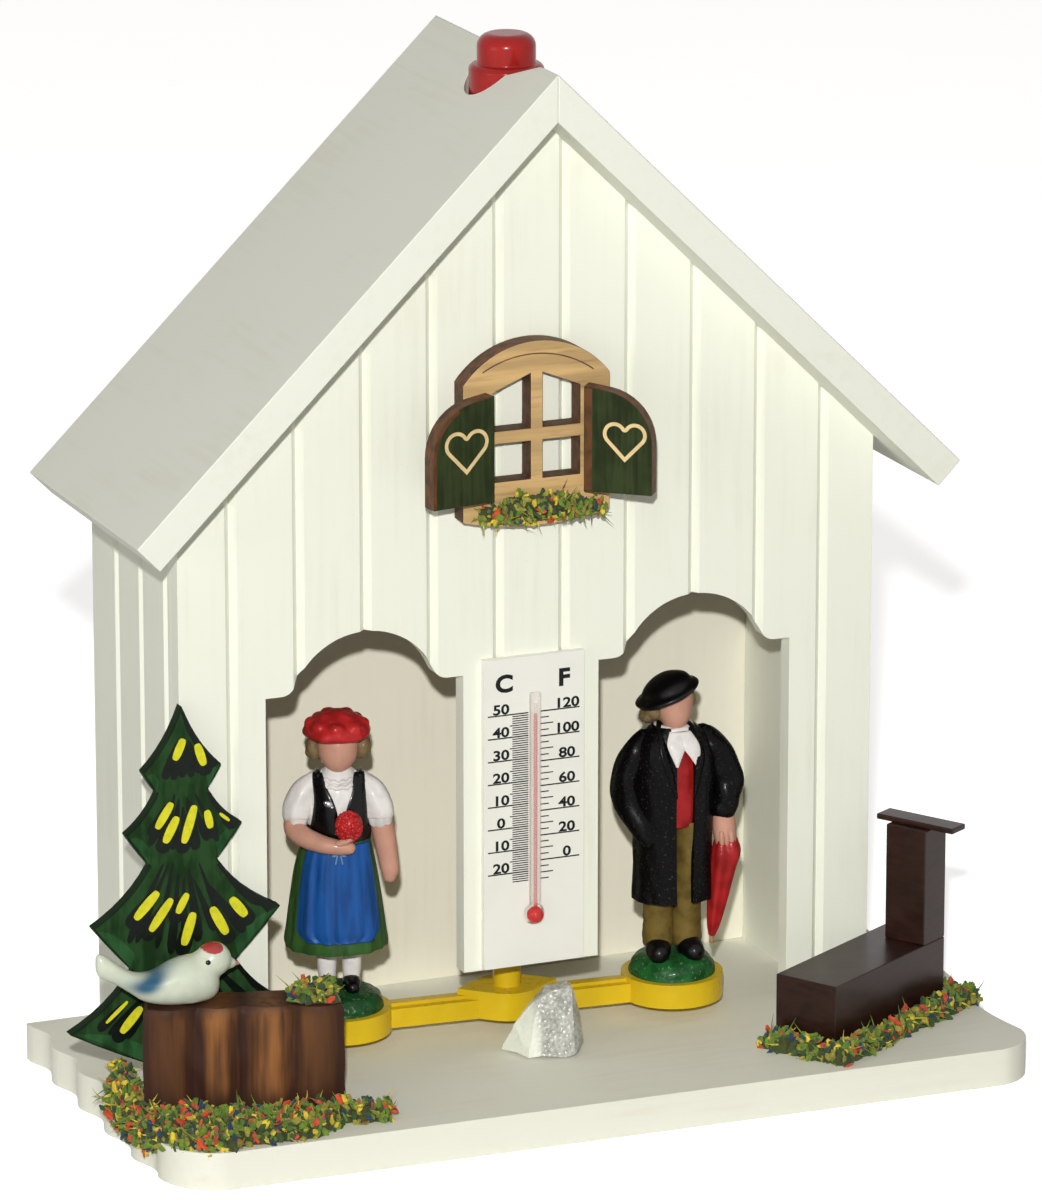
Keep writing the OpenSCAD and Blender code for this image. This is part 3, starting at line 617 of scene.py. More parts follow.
class WEATHER_OT_works(Operator):
    """Finish the swing bar, the knob and the hidden works"""

    bl_idname = "weather_house.works"
    bl_label = "Works"
    bl_options = {"REGISTER", "UNDO"}

    def execute(self, context):
        look = context.scene.weather_house
        works = look.works
        yellow = gloss("bar_yellow", works.bar, 0.28, 9, 1.2, 0.02, shadow=0.86)
        red = gloss("knob_red", works.knob, 0.24, 5, 0.9, 0.03, shadow=0.8)
        soft_edged("moulded_swing_bar", solid("swing_bar"), [yellow], "carrier", "bar_yellow",
                   ["swing_bar"], 0.35 * MM, 3)
        soft_edged("turned_knob", solid("chimney_knob"), [red], "knob", "knob_red", ["chimney_knob"],
                   0.45 * MM, 3)
        wood = bare_wood("bare_wood", look.house.wood, (1, 0.06, 1))
        finishes = {
            "ridge_block": wood,
            "stem_guide": wood,
            "base_screws": metal("zinc", works.steel, (1, 0.1, 1)),
            "knob_collar": metal("collar_steel", works.steel, (1, 1, 0.1)),
            "gut_ferrule": metal("brass", works.brass, (1, 1, 0.1)),
            "gut_string": self.gut(works.gut),
        }
        for node, material in finishes.items():
            coat_solid(node, material)
        return {"FINISHED"}

    def gut(self, shade):
        """Twisted gut, darker in the lay."""
        f = finish("gut")
        lay = f.add("TexWave", {"bands_direction": "DIAGONAL"},
                    {"Vector": f.place(), "Scale": 300.0, "Distortion": 2.0}, 1)
        return f.surface(f.mix(lay, scaled(shade, 0.6), tuple(shade)), 0.4 + 0.1 * lay, lay, 0.05)


class WEATHER_OT_thermometer(Operator):
    """Print the scale and fill the tube of the thermometer"""

    bl_idname = "weather_house.thermometer"
    bl_label = "Thermometer"
    bl_options = {"REGISTER", "UNDO"}

    top = 57.2
    ten_celsius = 3.49
    twenty_fahrenheit = 3.82
    bare_half = 0.95
    numbers = ((-5.3, ten_celsius, ("50", "40", "30", "20", "10", "0", "10", "20")),
               (5.2, twenty_fahrenheit, ("120", "100", "80", "60", "40", "20", "0")))
    letters = (("C", -4.8), ("F", 4.7))
    letters_z = 60.8
    print_height = 0.02
    bulb_z = 26.0

    def execute(self, context):
        parts = context.scene.weather_house.thermometer
        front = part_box("thermometer_plate")[0].y / MM
        plate = gloss("scale_white", parts.plate, 0.38, 12, 0.8, 0.01, 0.2, 0.95)
        soft_edged("scale_plate", solid("thermometer_plate"), [plate], "house", "scale_white",
                   ["thermometer_plate"], 0.25 * MM)
        ink = gloss("scale_ink", parts.ink, 0.45, 1.2, 0.3, 0.005, 0.1, 0.7)
        bm = bmesh.new()
        self.place = lambda u, v, h: spot(u, front - h, v)
        self.rule(bm, parts.line / MM)
        self.figures(bm, parts)
        piece("scale_print", bm, [ink], "house", "scale_white", sharp=30)
        coat_solid("thermometer_tube", self.glass())
        spirit = gloss("spirit_red", parts.spirit, 0.2, 1.0, 0.4, 0.01, 0.5, 0.85)
        coat_solid("thermometer_spirit", spirit)
        return {"FINISHED"}

    def glass(self):
        """Milky backed glass of the stem, clear at the bulb."""
        f = finish("tube_glass")
        ripple = f.noise(1.5)
        rise = f.along((0, 0, 1), (0, 0, self.bulb_z))
        milk = f.fade(rise + ripple * 0.4, 1.6, 2.4)
        shade = f.mix(ripple, (0.90, 0.80, 0.76), (0.96, 0.92, 0.88))
        return f.surface(shade, 0.1 + 0.06 * ripple, ripple, 0.01, alpha=0.02 + 0.2 * milk,
                         specular_ior_level=0.1)

    def stroke(self, bm, u0, u1, v, thick):
        """Level line from u0 to u1."""
        outline = [(u0, v - thick / 2), (u1, v - thick / 2), (u1, v + thick / 2), (u0, v + thick / 2)]
        slab(bm, outline, self.place, SUNK, self.print_height)

    def rule(self, bm, thick):
        """Degree lines: every degree on the left, every five on the right."""
        for degree in range(0, 75):
            v = self.top - degree * self.ten_celsius / 10
            reach = 7.4 if degree % 10 == 0 else 3.9 if degree % 5 == 0 else 3.5
            self.stroke(bm, -reach, -self.bare_half, v, thick * (1 if degree % 10 == 0 else 0.8))
        for five in range(0, 28):
            v = self.top - five * self.twenty_fahrenheit / 4
            reach = (7.2, 2.3, 3.0, 2.3)[five % 4]
            self.stroke(bm, self.bare_half, reach, v, thick * (1 if five % 4 == 0 else 0.85))

    def figures(self, bm, parts):
        """Numbers on their lines, and the two unit letters above them."""
        clear = 0.2
        for u, gap, column in self.numbers:
            for step, number in enumerate(column):
                self.print(bm, number, parts.figure / MM, u, self.top - step * gap + clear)
        for letter, u in self.letters:
            self.print(bm, letter, parts.letter / MM, u, self.letters_z, 0.14, 1.1)

    def print(self, bm, words, size, u, v, bold=0.06, wide=1.25):
        """Set words with their foot at u and v."""
        font = bpy.data.curves.new("print", "FONT")
        font.body = words
        font.size = size
        font.align_x = "CENTER"
        font.extrude = self.print_height
        font.offset = bold
        font.resolution_u = 4
        holder = bpy.data.objects.new("print", font)
        bpy.context.scene.collection.objects.link(holder)
        graph = bpy.context.evaluated_depsgraph_get()
        mesh = bpy.data.meshes.new_from_object(holder.evaluated_get(graph))
        start = len(bm.verts)
        bm.from_mesh(mesh)
        bm.verts.ensure_lookup_table()
        for vert in bm.verts[start:]:
            vert.co = self.place(u + wide * vert.co.x, v + vert.co.y, vert.co.z)
        bpy.data.objects.remove(holder)
        bpy.data.curves.remove(font)
        bpy.data.meshes.remove(mesh)


class WEATHER_OT_window(Operator):
    """Scorch the window's edges, stain the shutters and draw their hearts"""

    bl_idname = "weather_house.window"
    bl_label = "Window"
    bl_options = {"REGISTER", "UNDO"}

    middle = -0.6
    hinge = 8.1
    hinge_y = box_mm("left_shutter")[1][1]
    hinge_z = box_mm("left_shutter")[0][2]
    board_t = 2.6
    turns = (("left_shutter", -1, 9), ("right_shutter", 1, 39))
    line_high = 0.03
    heart_line = 0.58
    heart_high = 0.05

    def execute(self, context):
        window = context.scene.weather_house.window
        ply = bare_wood("window_ply", window.ply, (0.07, 1, 1))
        burnt = self.scorched(window.burnt)
        bm = solid("window_frame")
        two_tone(bm, Vector((0, -1, 0)))
        soft_edged("ply_window", bm, [ply, burnt], "house", "window_ply", ["window_frame"], 0.18 * MM)
        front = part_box("window_frame")[0].y / MM
        bm = bmesh.new()
        sweep = arc((-1.2, 96.2), 15.8, 53, 120, 24)
        band(bm, sweep, 0.2, lambda u, v, h: spot(u, front - h, v), SUNK, self.line_high)
        drawn = self.scorched(scaled(window.burnt, 1.6), "drawn_line")
        piece("window_line", bm, [drawn], "house", "window_ply")
        green = self.stained(window.shutter)
        heart = gloss("heart_line", window.heart, 0.6, 1.5, 0.4, 0.02, 0.0, 0.85)
        rim = gloss("shutter_rim", scaled(window.burnt, 1.25), 0.6, 2.0, 0.4, 0.03, 0.0, 0.6)
        for name, side, turn in self.turns:
            self.shutter(name, side, turn, [green, burnt, rim, heart], window)
        return {"FINISHED"}

    def scorched(self, shade, name="burnt_edge"):
        """Smoked edge with the layers of the ply."""
        f = finish(name)
        smoke = f.noise(1.6, detail=4)
        layer = f.noise(0.6, (0.1, 1, 0.1), 2)
        shade = f.mix(f.fade(smoke, 0.35, 0.68), scaled(shade, 0.45), scaled(shade, 1.25))
        return f.surface(shade, 0.6 + 0.2 * smoke, layer * 0.7 + smoke * 0.3, 0.04)

    def stained(self, shade):
        """Green stain that shows upright fibres."""
        f = finish("shutter_green")
        fibre = f.noise(0.7, (1, 1, 0.07), 3)
        cloud = f.noise(3.5)
        soaked = f.fade(fibre * 0.6 + cloud * 0.4, 0.35, 0.65)
        shade = f.mix(soaked, scaled(shade, 0.55), scaled(shade, 1.2))
        return f.surface(shade, 0.5 + 0.2 * fibre, fibre, 0.04, specular_ior_level=0.1)

    def shutter(self, name, side, turn, finishes, window):
        """One open shutter with its heart and its rim."""
        a = math.radians(turn)
        out = Vector((side * math.cos(a), -math.sin(a), 0))
        face = Vector((-side * math.sin(a), -math.cos(a), 0))
        hinge = Vector((self.middle + side * self.hinge, self.hinge_y, self.hinge_z))
        bm = solid(name)
        two_tone(bm, face)
        soft_edged("stained_" + name, bm, finishes[:2], "house", "shutter_green", [name], 0.15 * MM)

        def place(u, v, h):
            return (hinge + out * u + face * (self.board_t + h) + Vector((0, 0, v))) * MM

        bm = bmesh.new()
        middle, share = ((4.75, 8.0), 1) if side < 0 else ((6.2, 7.75), 0.9)
        self.heart(bm, place, middle, window.heart_width / MM * share)
        rim_high = 0.02
        if side > 0:
            slab(bm, [(0.15, 0.2), (1.25, 0.2), (1.25, 15.4), (0.15, 15.55)], place, SUNK, rim_high)
        else:
            edge = [(10.05, 0.2), *arc((2.3, 7.4), 7.75, 0, 62, 10)]
            band(bm, edge, 0.5, place, SUNK, rim_high)
        piece(name + "_paint", bm, finishes[2:], "house", "shutter_green")

    def heart(self, bm, place, middle, width):
        """Raised outline of a heart with a line of even width: two round lobes and two straight sides."""
        line, high, inset = self.heart_line, self.heart_high, 0.03
        r, c, foot = 0.27 * width, 0.23 * width, 0.63 * width
        notch = math.sqrt(r * r - c * c)
        slope = math.atan2(foot, c) - math.asin(r / math.hypot(c, foot))
        end = math.pi - math.atan2(notch, c)

        def outline(inset):
            half = [(0, -foot + inset / math.cos(slope))]
            for i in range(25):
                a = slope - math.pi / 2 + (end - slope + math.pi / 2) * i / 24
                half.append((c + (r - inset) * math.cos(a), (r - inset) * math.sin(a)))
            for i in range(1, 6):
                a = end + math.pi + (math.pi / 2 - end) * i / 5
                half.append((inset * math.cos(a), notch + inset * math.sin(a)))
            whole = half + [(-u, v) for u, v in half[-2:0:-1]]
            return [(middle[0] + u, middle[1] + v + 0.18 * width) for u, v in whole]

        corners = ((inset, SUNK), (inset, high), (line, high), (line, SUNK))
        hoop(bm, [[place(u, v, height) for u, v in outline(depth)] for depth, height in corners], 1)


# The garden


class WEATHER_OT_fir(Operator):
    """Paint the fir's face with hems, dark strokes and yellow dabs"""

    bl_idname = "weather_house.fir"
    bl_label = "Fir tree"
    bl_options = {"REGISTER", "UNDO"}

    middle = -55.3
    dabs = (
        ((0.2, 54.1), (-1.2, 51.0), 1.3), ((2.2, 53.1), (3.3, 49.7), 1.3),
        ((-1.7, 44.7), (-4.1, 41.0), 1.3), ((-0.9, 42.5), (-2.9, 38.7), 1.4),
        ((1.8, 43.9), (0.0, 38.3), 1.4), ((3.6, 42.9), (4.2, 40.1), 1.2),
        ((5.6, 42.2), (7.1, 40.9), 0.5), ((-4.0, 31.5), (-7.6, 27.7), 1.5),
        ((-1.9, 30.2), (-5.3, 25.6), 1.4), ((0.5, 30.7), (-1.1, 27.8), 1.2),
        ((1.4, 27.7), (-0.2, 22.8), 1.5), ((4.2, 28.1), (6.5, 23.7), 1.5),
        ((7.2, 29.1), (9.5, 26.1), 1.5), ((-8.9, 15.4), (-12.3, 12.5), 0.6),
        ((-6.8, 14.3), (-10.0, 10.7), 1.4), ((6.4, 14.6), (9.4, 11.0), 1.4),
        ((3.4, 13.2), (5.0, 8.8), 1.4), ((-2.8, 13.4), (-4.4, 9.0), 1.4), ((0.2, 14.0), (0.2, 9.4), 1.4),
    )
    hems = (
        ((0.35, 0.84), (0.225, 0.783), 3.0), ((0.53, 0.685), (0.3, 0.6), 3.6),
        ((0.865, 0.457), (0.46, 0.334), 4.2), ((1.0, 0.192), (0.3, 0.085), 4.0),
    )
    fans = ((3.2, 55.0, 8.0, 5), (6.2, 46.5, 10.0, 7), (10.5, 36.5, 15.0, 9), (13.0, 20.5, 12.0, 9))
    left_reach = (1, 0.96, 0.94, 1.03)
    half = 17.3
    height = 59.0
    coat = 0.05
    next_coat = 0.0006
    dab_high = 0.14

    def execute(self, context):
        garden = context.scene.weather_house.garden
        face = self.brushed("tree_green", garden.fir)
        dark = gloss("tree_dark", garden.fir_dark, 0.4, 2, 0.6, 0.04, 0.15, 0.5)
        edge = self.brushed("tree_edge", scaled(garden.fir, 0.35))
        hem = self.brushed("tree_hem", garden.fir_light)
        yellow = gloss("tree_dab", garden.dab, 0.45, 1.2, 0.5, 0.06, 0.1, 0.84)
        bm = solid("fir_tree")
        two_tone(bm, Vector((0, -1, 0)))
        fronts = [f for f in bm.faces if f.material_index == 0]
        rim = bmesh.ops.inset_region(bm, faces=fronts, thickness=0.25 * MM, use_even_offset=True)
        mark(rim["faces"], 1)
        soft_edged("painted_fir", bm, [face, edge], "house", "tree_green", ["fir_tree"], 0.2 * MM)
        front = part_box("fir_tree")[0].y / MM
        bm = bmesh.new()

        def place(u, v, h):
            return spot(self.middle + u, front - h, FLOOR_Z + v)

        rng = random.Random(4)
        for side in (-1, 1):
            start = Vector((0, 1))
            for (tip, nook, thick), reach in zip(self.hems, self.left_reach):
                if side < 0:
                    tip = (tip[0] * reach, tip[1])
                if side > 0:
                    self.flank(bm, place, start, Vector(tip), rng)
                self.hem(bm, place, side, tip, nook, thick)
                start = Vector(nook)
        coat = self.coat
        for spread, top, drop, count in self.fans:
            for k in range(count):
                lean = -1 + 2 * k / (count - 1)
                a = Vector((lean * spread * 0.3, top - rng.uniform(0.05, 0.3) * drop))
                b = Vector((lean * spread * rng.uniform(0.8, 0.95),
                            top - drop * (rng.uniform(0.84, 1.0) - 0.14 * lean * lean)))
                coat += self.next_coat
                self.drop(bm, place, a, b, rng.uniform(0.3, 0.6), rng.uniform(1.3, 2.3), coat)
        for a, b, width in self.dabs:
            a, b = Vector(a), Vector(b)
            head = (b - a).normalized()
            coat += self.next_coat
            self.drop(bm, place, a + head * 0.3, b + head * 1.6, width + 0.3, width + 1.3, coat)
            slab(bm, leaf(a, b, width), place, 0, self.dab_high, 2)
        piece("fir_paint", bm, [hem, dark, yellow], "house", "tree_green")
        return {"FINISHED"}

    def drop(self, bm, place, a, b, narrow, wide, height):
        """Brush mark that starts narrow at a and ends wide and round at b."""
        head = b - a
        side = Vector((-head.y, head.x)).normalized() / 2
        rows = [(0, 0.5), (0.2, 1), (0.45, 1), (0.7, 1), (0.88, 0.85), (0.97, 0.5)]
        swell = [(a + head * t, side * (narrow + (wide - narrow) * t) * share) for t, share in rows]
        outline = [p - s for p, s in swell] + [b] + [p + s for p, s in swell[::-1]]
        slab(bm, outline, place, SUNK, height, 1)

    def flank(self, bm, place, start, tip, rng):
        """Dark stroke down the outer edge of one branch."""
        size = Vector((self.half, self.height))
        start, tip = start * size, tip * size
        bend = Vector((start.x + (tip.x - start.x) * 0.35, tip.y + (start.y - tip.y) * 0.38))
        path, inner = [], []
        for i in range(9):
            t = 0.06 + 0.9 * i / 8
            path.append(start.lerp(bend, t).lerp(bend.lerp(tip, t), t))
            inner.append(path[-1] + Vector((-0.6, -0.4)) * (0.8 + 1.8 * i / 8) * rng.uniform(0.8, 1.2))
        slab(bm, inner + path[::-1], place, SUNK, 0.04, 1)

    def brushed(self, name, shade):
        """Paint put on with an upright brush."""
        f = finish(name)
        stroke = f.noise(1.3, (1, 1, 0.25), 3)
        cloud = f.noise(4)
        laid = f.fade(stroke * 0.6 + cloud * 0.4, 0.36, 0.62)
        shade = f.mix(laid, scaled(shade, 0.5), scaled(shade, 1.1))
        return f.surface(shade, 0.55 + 0.2 * stroke, stroke, 0.06, specular_ior_level=0.06)

    def hem(self, bm, place, side, tip, nook, thick):
        """Lighter band along the lower edge of one branch."""
        tip = Vector((tip[0] * self.half, tip[1] * self.height))
        nook = Vector((nook[0] * self.half, nook[1] * self.height))
        tip += (nook - tip).normalized() * 1.2 + Vector((0, 0.5))
        under = (tip + nook) / 2 + Vector((0, 0.55))
        low = [tip.lerp(under, t).lerp(under.lerp(nook, t), t) for t in (0, 0.25, 0.5, 0.75, 0.95)]
        rise = [0.02, 0.45, 0.75, 0.9, 1.0]
        high = [p + Vector((-0.12, 0.6)) * thick * r for p, r in zip(low, rise)]
        outline = [(side * p.x, p.y) for p in low + high[::-1]]
        slab(bm, outline if side > 0 else outline[::-1], place, SUNK, 0.03)


class WEATHER_OT_stump(Operator):
    """Carve the flutes of the stump"""

    bl_idname = "weather_house.stump"
    bl_label = "Tree stump"
    bl_options = {"REGISTER", "UNDO"}

    def execute(self, context):
        garden = context.scene.weather_house.garden
        low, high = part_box("tree_stump")
        bm = solid("tree_stump")
        floor = min((f for f in bm.faces if f.normal.z < -FACING), key=lambda f: f.calc_center_median().z)
        outline = [v.co.copy() for v in floor.verts]
        bm.free()
        ring = self.resample(outline, 0.45 * MM)
        centre = sum(ring, Vector()) / len(ring)
        bottom, top = low.z / MM, high.z / MM
        rim, toe = 0.955, 0.03
        levels = [0, 0.01, 0.06] + [i / 24 for i in range(2, 23)] + [rim, 0.98, 0.995, 1]
        rings = []
        for t in levels:
            made = []
            for p in ring:
                inward = (centre - p).normalized()
                grain = noise.noise(Vector((p.x, p.y, t * 4 * MM)) / (1.1 * MM))
                gouge = noise.noise(Vector((p.x, p.y, t * 9 * MM)) / (2.6 * MM) + Vector((7, 0, 0)))
                round_off = 0.5 * max(0, t - rim) / 0.045 + 0.2 * max(0, toe - t) / toe
                cut = 0.22 + 0.2 * grain + 0.22 * gouge + round_off
                made.append(Vector((p.x, p.y, 0)) + inward * max(0, cut) * MM
                            + Vector((0, 0, (bottom + (top - bottom) * t) * MM)))
            rings.append(made)
        bm = bmesh.new()
        loft(bm, rings)
        piece("carved_stump", bm, [self.bark(garden)], "house", "stump_brown", ["tree_stump"], sharp=50)
        return {"FINISHED"}

    def resample(self, outline, gap):
        """Points along a closed outline, about that far apart."""
        points = []
        for a, b in zip(outline, outline[1:] + outline[:1]):
            steps = max(1, round((b - a).length / gap))
            points += [a.lerp(b, i / steps) for i in range(steps)]
        return points

    def bark(self, garden):
        """Stained wood with a painted highlight along the middles of the flutes, weaker towards the stump's
        ends and foot; dark in the creases and at the rim.
        """
        f = finish("stump_brown")
        turn = math.radians(STUMP_TURN)
        run = f.along((math.cos(turn), math.sin(turn), 0), (*STUMP_PLACE, 0))
        streak = f.noise(1.4, (1, 1, 0.06), 4)
        patch = f.noise(6, (1, 1, 0.4), 2)
        flute = f.add("Math", {"operation": "SINE"}, {0: run * (math.pi * STUMP_LOBES / STUMP_LEN)})
        flute = f.add("Math", {"operation": "ABSOLUTE"}, {0: flute})
        rise = f.along((0, 0, 1), (0, 0, FLOOR_Z))
        rim = f.fade(rise + streak * 4, 16.5, 19.2)
        away = f.add("Math", {"operation": "ABSOLUTE"}, {0: run - STUMP_LEN / 2})
        # Painted highlight: lighter along the middles of the flutes, broken up by streaks and patches, and
        # weaker towards the stump's two ends and its foot
        patchy = (1 - 0.75 * f.fade(away, 5, 11)) * f.fade(rise + patch * 6, 3, 8)
        light = f.fade(flute * 0.4 + streak * 0.8 + patch * 0.6, 0.72, 1.35) * patchy
        shade = f.mix(light, tuple(garden.bark), tuple(garden.bark_highlight))
        shade = f.mix(f.fade(streak, 0.55, 0.75) * 0.5, shade, scaled(garden.bark, 0.6))
        shade = f.mix(rim * 0.8, shade, scaled(garden.bark, 0.8))
        return f.surface(shade, 0.45 + 0.25 * streak, streak, 0.12, specular_ior_level=0.2)


class WEATHER_OT_bird(Operator):
    """Model the bird on the stump and paint its zones"""

    bl_idname = "weather_house.bird"
    bl_label = "Bird"
    bl_options = {"REGISTER", "UNDO"}

    patches = ((-64.2, 3.6, 1.8, 1.3, 0.95), (-62.9, 4.6, 1.5, 1.2, 0.75), (-61.7, 5.6, 1.5, 1.2, 0.7),
               (-60.3, 6.7, 1.6, 1.1, 0.5), (-58.6, 7.4, 1.8, 1.0, 0.3), (-66.0, 4.0, 1.9, 1.2, 0.5),
               (-67.8, 5.2, 1.8, 1.0, 0.2))

    spine = (
        (-71.1, 7.5, 0.5, 1.2), (-70.7, 7.3, 0.9, 1.8), (-69.6, 6.75, 1.2, 1.9), (-68.3, 5.85, 1.4, 1.7),
        (-66.2, 4.35, 1.7, 1.7), (-64.2, 3.3, 2.2, 2.1), (-62.0, 3.0, 2.7, 2.6), (-59.7, 3.3, 3.1, 3.3),
        (-57.5, 3.5, 3.3, 3.6), (-55.2, 3.45, 3.1, 3.5), (-53.6, 3.1, 2.4, 2.8), (-52.6, 2.7, 1.1, 1.6),
    )

    def execute(self, context):
        garden = context.scene.weather_house.garden
        low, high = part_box("bird")
        y = (low.y + high.y) / 2 / MM
        foot = low.z / MM
        bm = bmesh.new()
        rings = []
        for x, z, wide, tall in curve(self.spine, 4):
            rings.append([Vector((x, y + wide * math.cos(a), foot + z + tall * math.sin(a)))
                          for a in (2 * math.pi * k / 28 for k in range(28))])
        loft(bm, rings)
        ball(bm, (-53.2, y, foot + 6.05), (2.65, 2.5, 2.6), cols=28, rows=18)
        limb(bm, ((-55.6, y, foot + 4.3, 2.95), (-53.9, y, foot + 5.5, 2.5)), cols=20)
        limb(bm, ((-51.7, y, foot + 5.4, 1.5), (-50.5, y, foot + 5.1, 0.85)), cols=16)
        ball(bm, (-57.0, y, foot + 0.8), (3.0, 2.2, 0.8), cols=24, rows=10)
        body = piece("bird_body", bm, [self.paint(garden, y, foot)], "house", "bird_paint", ["bird"],
                     matrix=Matrix.Scale(MM, 4))
        fuse(body, 0.22, 12)
        bm = bmesh.new()
        beak = ((-50.9, y, foot + 5.2, 0.8), (-50.1, y, foot + 5.05, 0.55), (-49.4, y, foot + 4.9, 0.22))
        limb(bm, beak, 0, 16)
        for side in (-1, 1):
            ball(bm, (-54.75, y + side * 2.12, foot + 6.3), (0.42, 0.32, 0.42), index=1)
        pink = gloss("bird_beak", srgb(214, 150, 136), 0.3, 0.9, 0.4, 0.02, 0.4, 0.5)
        bead = gloss("bird_eye", (0.006, 0.006, 0.007), 0.12, 1, 0.4, 0.01, 0.6, 0.5)
        piece("bird_trim", bm, [pink, bead], "house", "bird_paint", matrix=Matrix.Scale(MM, 4))
        return {"FINISHED"}

    def paint(self, garden, y, foot):
        """White with soft blue along the back and a red crown."""
        f = finish("bird_paint")
        soft = f.noise(2.2, detail=3)
        fine = f.noise(0.5)
        run = f.along((1, 0, 0))
        lift = f.along((0, 0, 1), (0, 0, foot))
        blue = (soft - 0.5) * 0.3
        for x, z, wide, tall, share in self.patches:
            across, above = (run - x) * (1 / wide), (lift - z) * (1 / tall)
            far = (across * across + above * above) * -1.0
            blue = blue + share * f.add("Math", {"operation": "EXPONENT"}, {0: far})
        crown_x = f.along((1, 0, -0.06), (-53.6, y, foot + 8.0))
        crown_z = f.along((0, 0, 1), (0, 0, foot + 8.15))
        away = crown_x * crown_x * 0.42 + crown_z * crown_z * 2.0 + (fine - 0.5) * 0.6
        crown = 1 - f.fade(away, 0.75, 1.2)
        shade = f.mix(f.fade(soft, 0.35, 0.7), scaled(garden.bird, 0.9), tuple(garden.bird))
        shade = f.mix(f.fade(blue, 0, 1.35), shade, tuple(garden.bird_blue))
        shade = f.mix(crown * 0.95, shade, tuple(garden.bird_red))
        return f.surface(shade, 0.25 + 0.12 * soft, soft * 0.7 + fine * 0.3, 0.03, specular_ior_level=0.3,
                         coat_weight=0.2, coat_roughness=0.08)


class WEATHER_OT_moss(Operator):
    """Scatter crumbs of moss over the tufts"""

    bl_idname = "weather_house.moss"
    bl_label = "Moss"
    bl_options = {"REGISTER", "UNDO"}

    # Name, screen colour, and share of the crumbs in the garden and at the window
    colours = (
        ("moss_core", (60, 68, 24), 0, 0), ("moss_green", (104, 132, 38), 32, 38),
        ("moss_deep", (52, 78, 34), 24, 9), ("moss_olive", (150, 144, 52), 19, 27),
        ("moss_yellow", (222, 196, 54), 9, 17), ("moss_red", (206, 76, 42), 11, 6),
        ("moss_blue", (34, 60, 92), 5, 3),
    )
    # Finishes that a thread is drawn from
    threads = (1, 1, 3, 4)
    # Roll over the edge of the base: place, and drop below the floor
    roll = (
        (-66.3, -4.6, 2.2), (-66.5, -8.6, 3.0), (-66.5, -12.2, 3.6), (-66.5, -15.8, 3.4), (-66.2, -19.4, 2.8),
        (-65.0, -23.0, 1.8), (-63.2, -26.4, 1.2), (-60.8, -28.8, 1.0), (-57.4, -30.0, 0.8),
    )
    roll_top = 2.2
    # Heaps against the stump's end: place along and across the stump, and radius
    heaps = ((-0.6, 1.6, 1.9), (-1.0, 4.6, 1.9), (-1.2, 7.6, 1.9), (0.6, -2.0, 2.0))
    heap_top = 3.2
    sill_y = -7.3

    def execute(self, context):
        garden = context.scene.weather_house.garden
        finishes = [self.felt(name, srgb(*rgb)) for name, rgb, *_ in self.colours]
        for seed, node in enumerate(("window_moss", "stump_moss", "left_moss", "right_moss")):
            self.tuft(node, finishes, random.Random(100 + seed), garden)
        return {"FINISHED"}

    def felt(self, name, shade):
        """Dull flock and dried moss."""
        f = finish(name)
        grain = f.noise(0.5, detail=3)
        patch = f.noise(2.0)
        shade = f.mix(f.fade(grain * 0.5 + patch * 0.5, 0.36, 0.64), scaled(shade, 0.7), scaled(shade, 1.2))
        return f.surface(shade, 0.85 + 0.1 * grain, grain, 0.15, sheen_weight=0.15)

    def tuft(self, node, finishes, rng, garden):
        """Cover a tuft with crumbs and threads, over a sunk core."""
        window, hanging = node == "window_moss", node == "left_moss"
        bm = welded(node)
        if hanging:
            self.heap(bm)
        bmesh.ops.triangulate(bm, faces=bm.faces[:])
        out = Vector((0, -1, 0)) if window else Vector((0, 0, 1))
        level, under = -0.2, -0.8
        tops = [f for f in bm.faces if f.normal.dot(out) > (under if hanging else level)]
        areas = [f.calc_area() for f in tops]
        spots = []
        for f in rng.choices(tops, areas, k=int(sum(areas) * 1e4 * garden.crumbs)):
            a, b = rng.random(), rng.random()
            if a + b > 1:
                a, b = 1 - a, 1 - b
            p, q, r = (v.co for v in f.verts)
            spots.append((p + (q - p) * a + (r - p) * b, f.normal.copy()))
        for vert in bm.verts:
            vert.co -= (vert.normal * 0.45 + out * 0.35) * MM
        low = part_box(node)[0]
        weights = [sill if window else share for *_, share, sill in self.colours]
        for point, normal in spots:
            kind = rng.choices(range(len(weights)), weights)[0]
            size = garden.crumb * rng.uniform(0.55, 1.15) * (0.85 if window else 1)
            centre = point + normal * rng.uniform(-0.5, 0.35) * MM
            self.crumb(bm, centre, size, kind, rng)
        upper = [(point, normal) for point, normal in spots if normal.dot(out) > level]
        for _ in range(len(upper) // 7):
            point, normal = rng.choice(upper)
            self.blade(bm, point, normal, garden.crumb, rng.choice(self.threads), rng)
        for vert in bm.verts:
            if window:
                vert.co.y = min(vert.co.y, self.sill_y * MM)
            elif not hanging:
                vert.co.z = max(vert.co.z, low.z)
        piece("flocked_" + node, bm, finishes, "house", "moss_green", [node], sharp=25)

    def heap(self, bm):
        """Small heaps against the stump's end, and a roll that hangs over the edge of the base."""
        turn = Matrix.Rotation(math.radians(STUMP_TURN), 4, "Z")
        stump = Matrix.Translation(spot(*STUMP_PLACE, FLOOR_Z)) @ turn
        for x, y, radius in self.heaps:
            made = ball(bm, (0, 0, 0), (radius * MM, radius * MM, self.heap_top * MM), cols=10, rows=8)
            for vert in made:
                vert.co = stump @ (vert.co + spot(x, y, 0))
                vert.co.z = max(vert.co.z, FLOOR_Z * MM)
        for x, y, drop in self.roll:
            centre = spot(x, y, FLOOR_Z + (self.roll_top - drop) / 2)
            ball(bm, centre, spot(1.5, 2.2, (self.roll_top + drop) / 2), cols=12, rows=10)
        bm.normal_update()

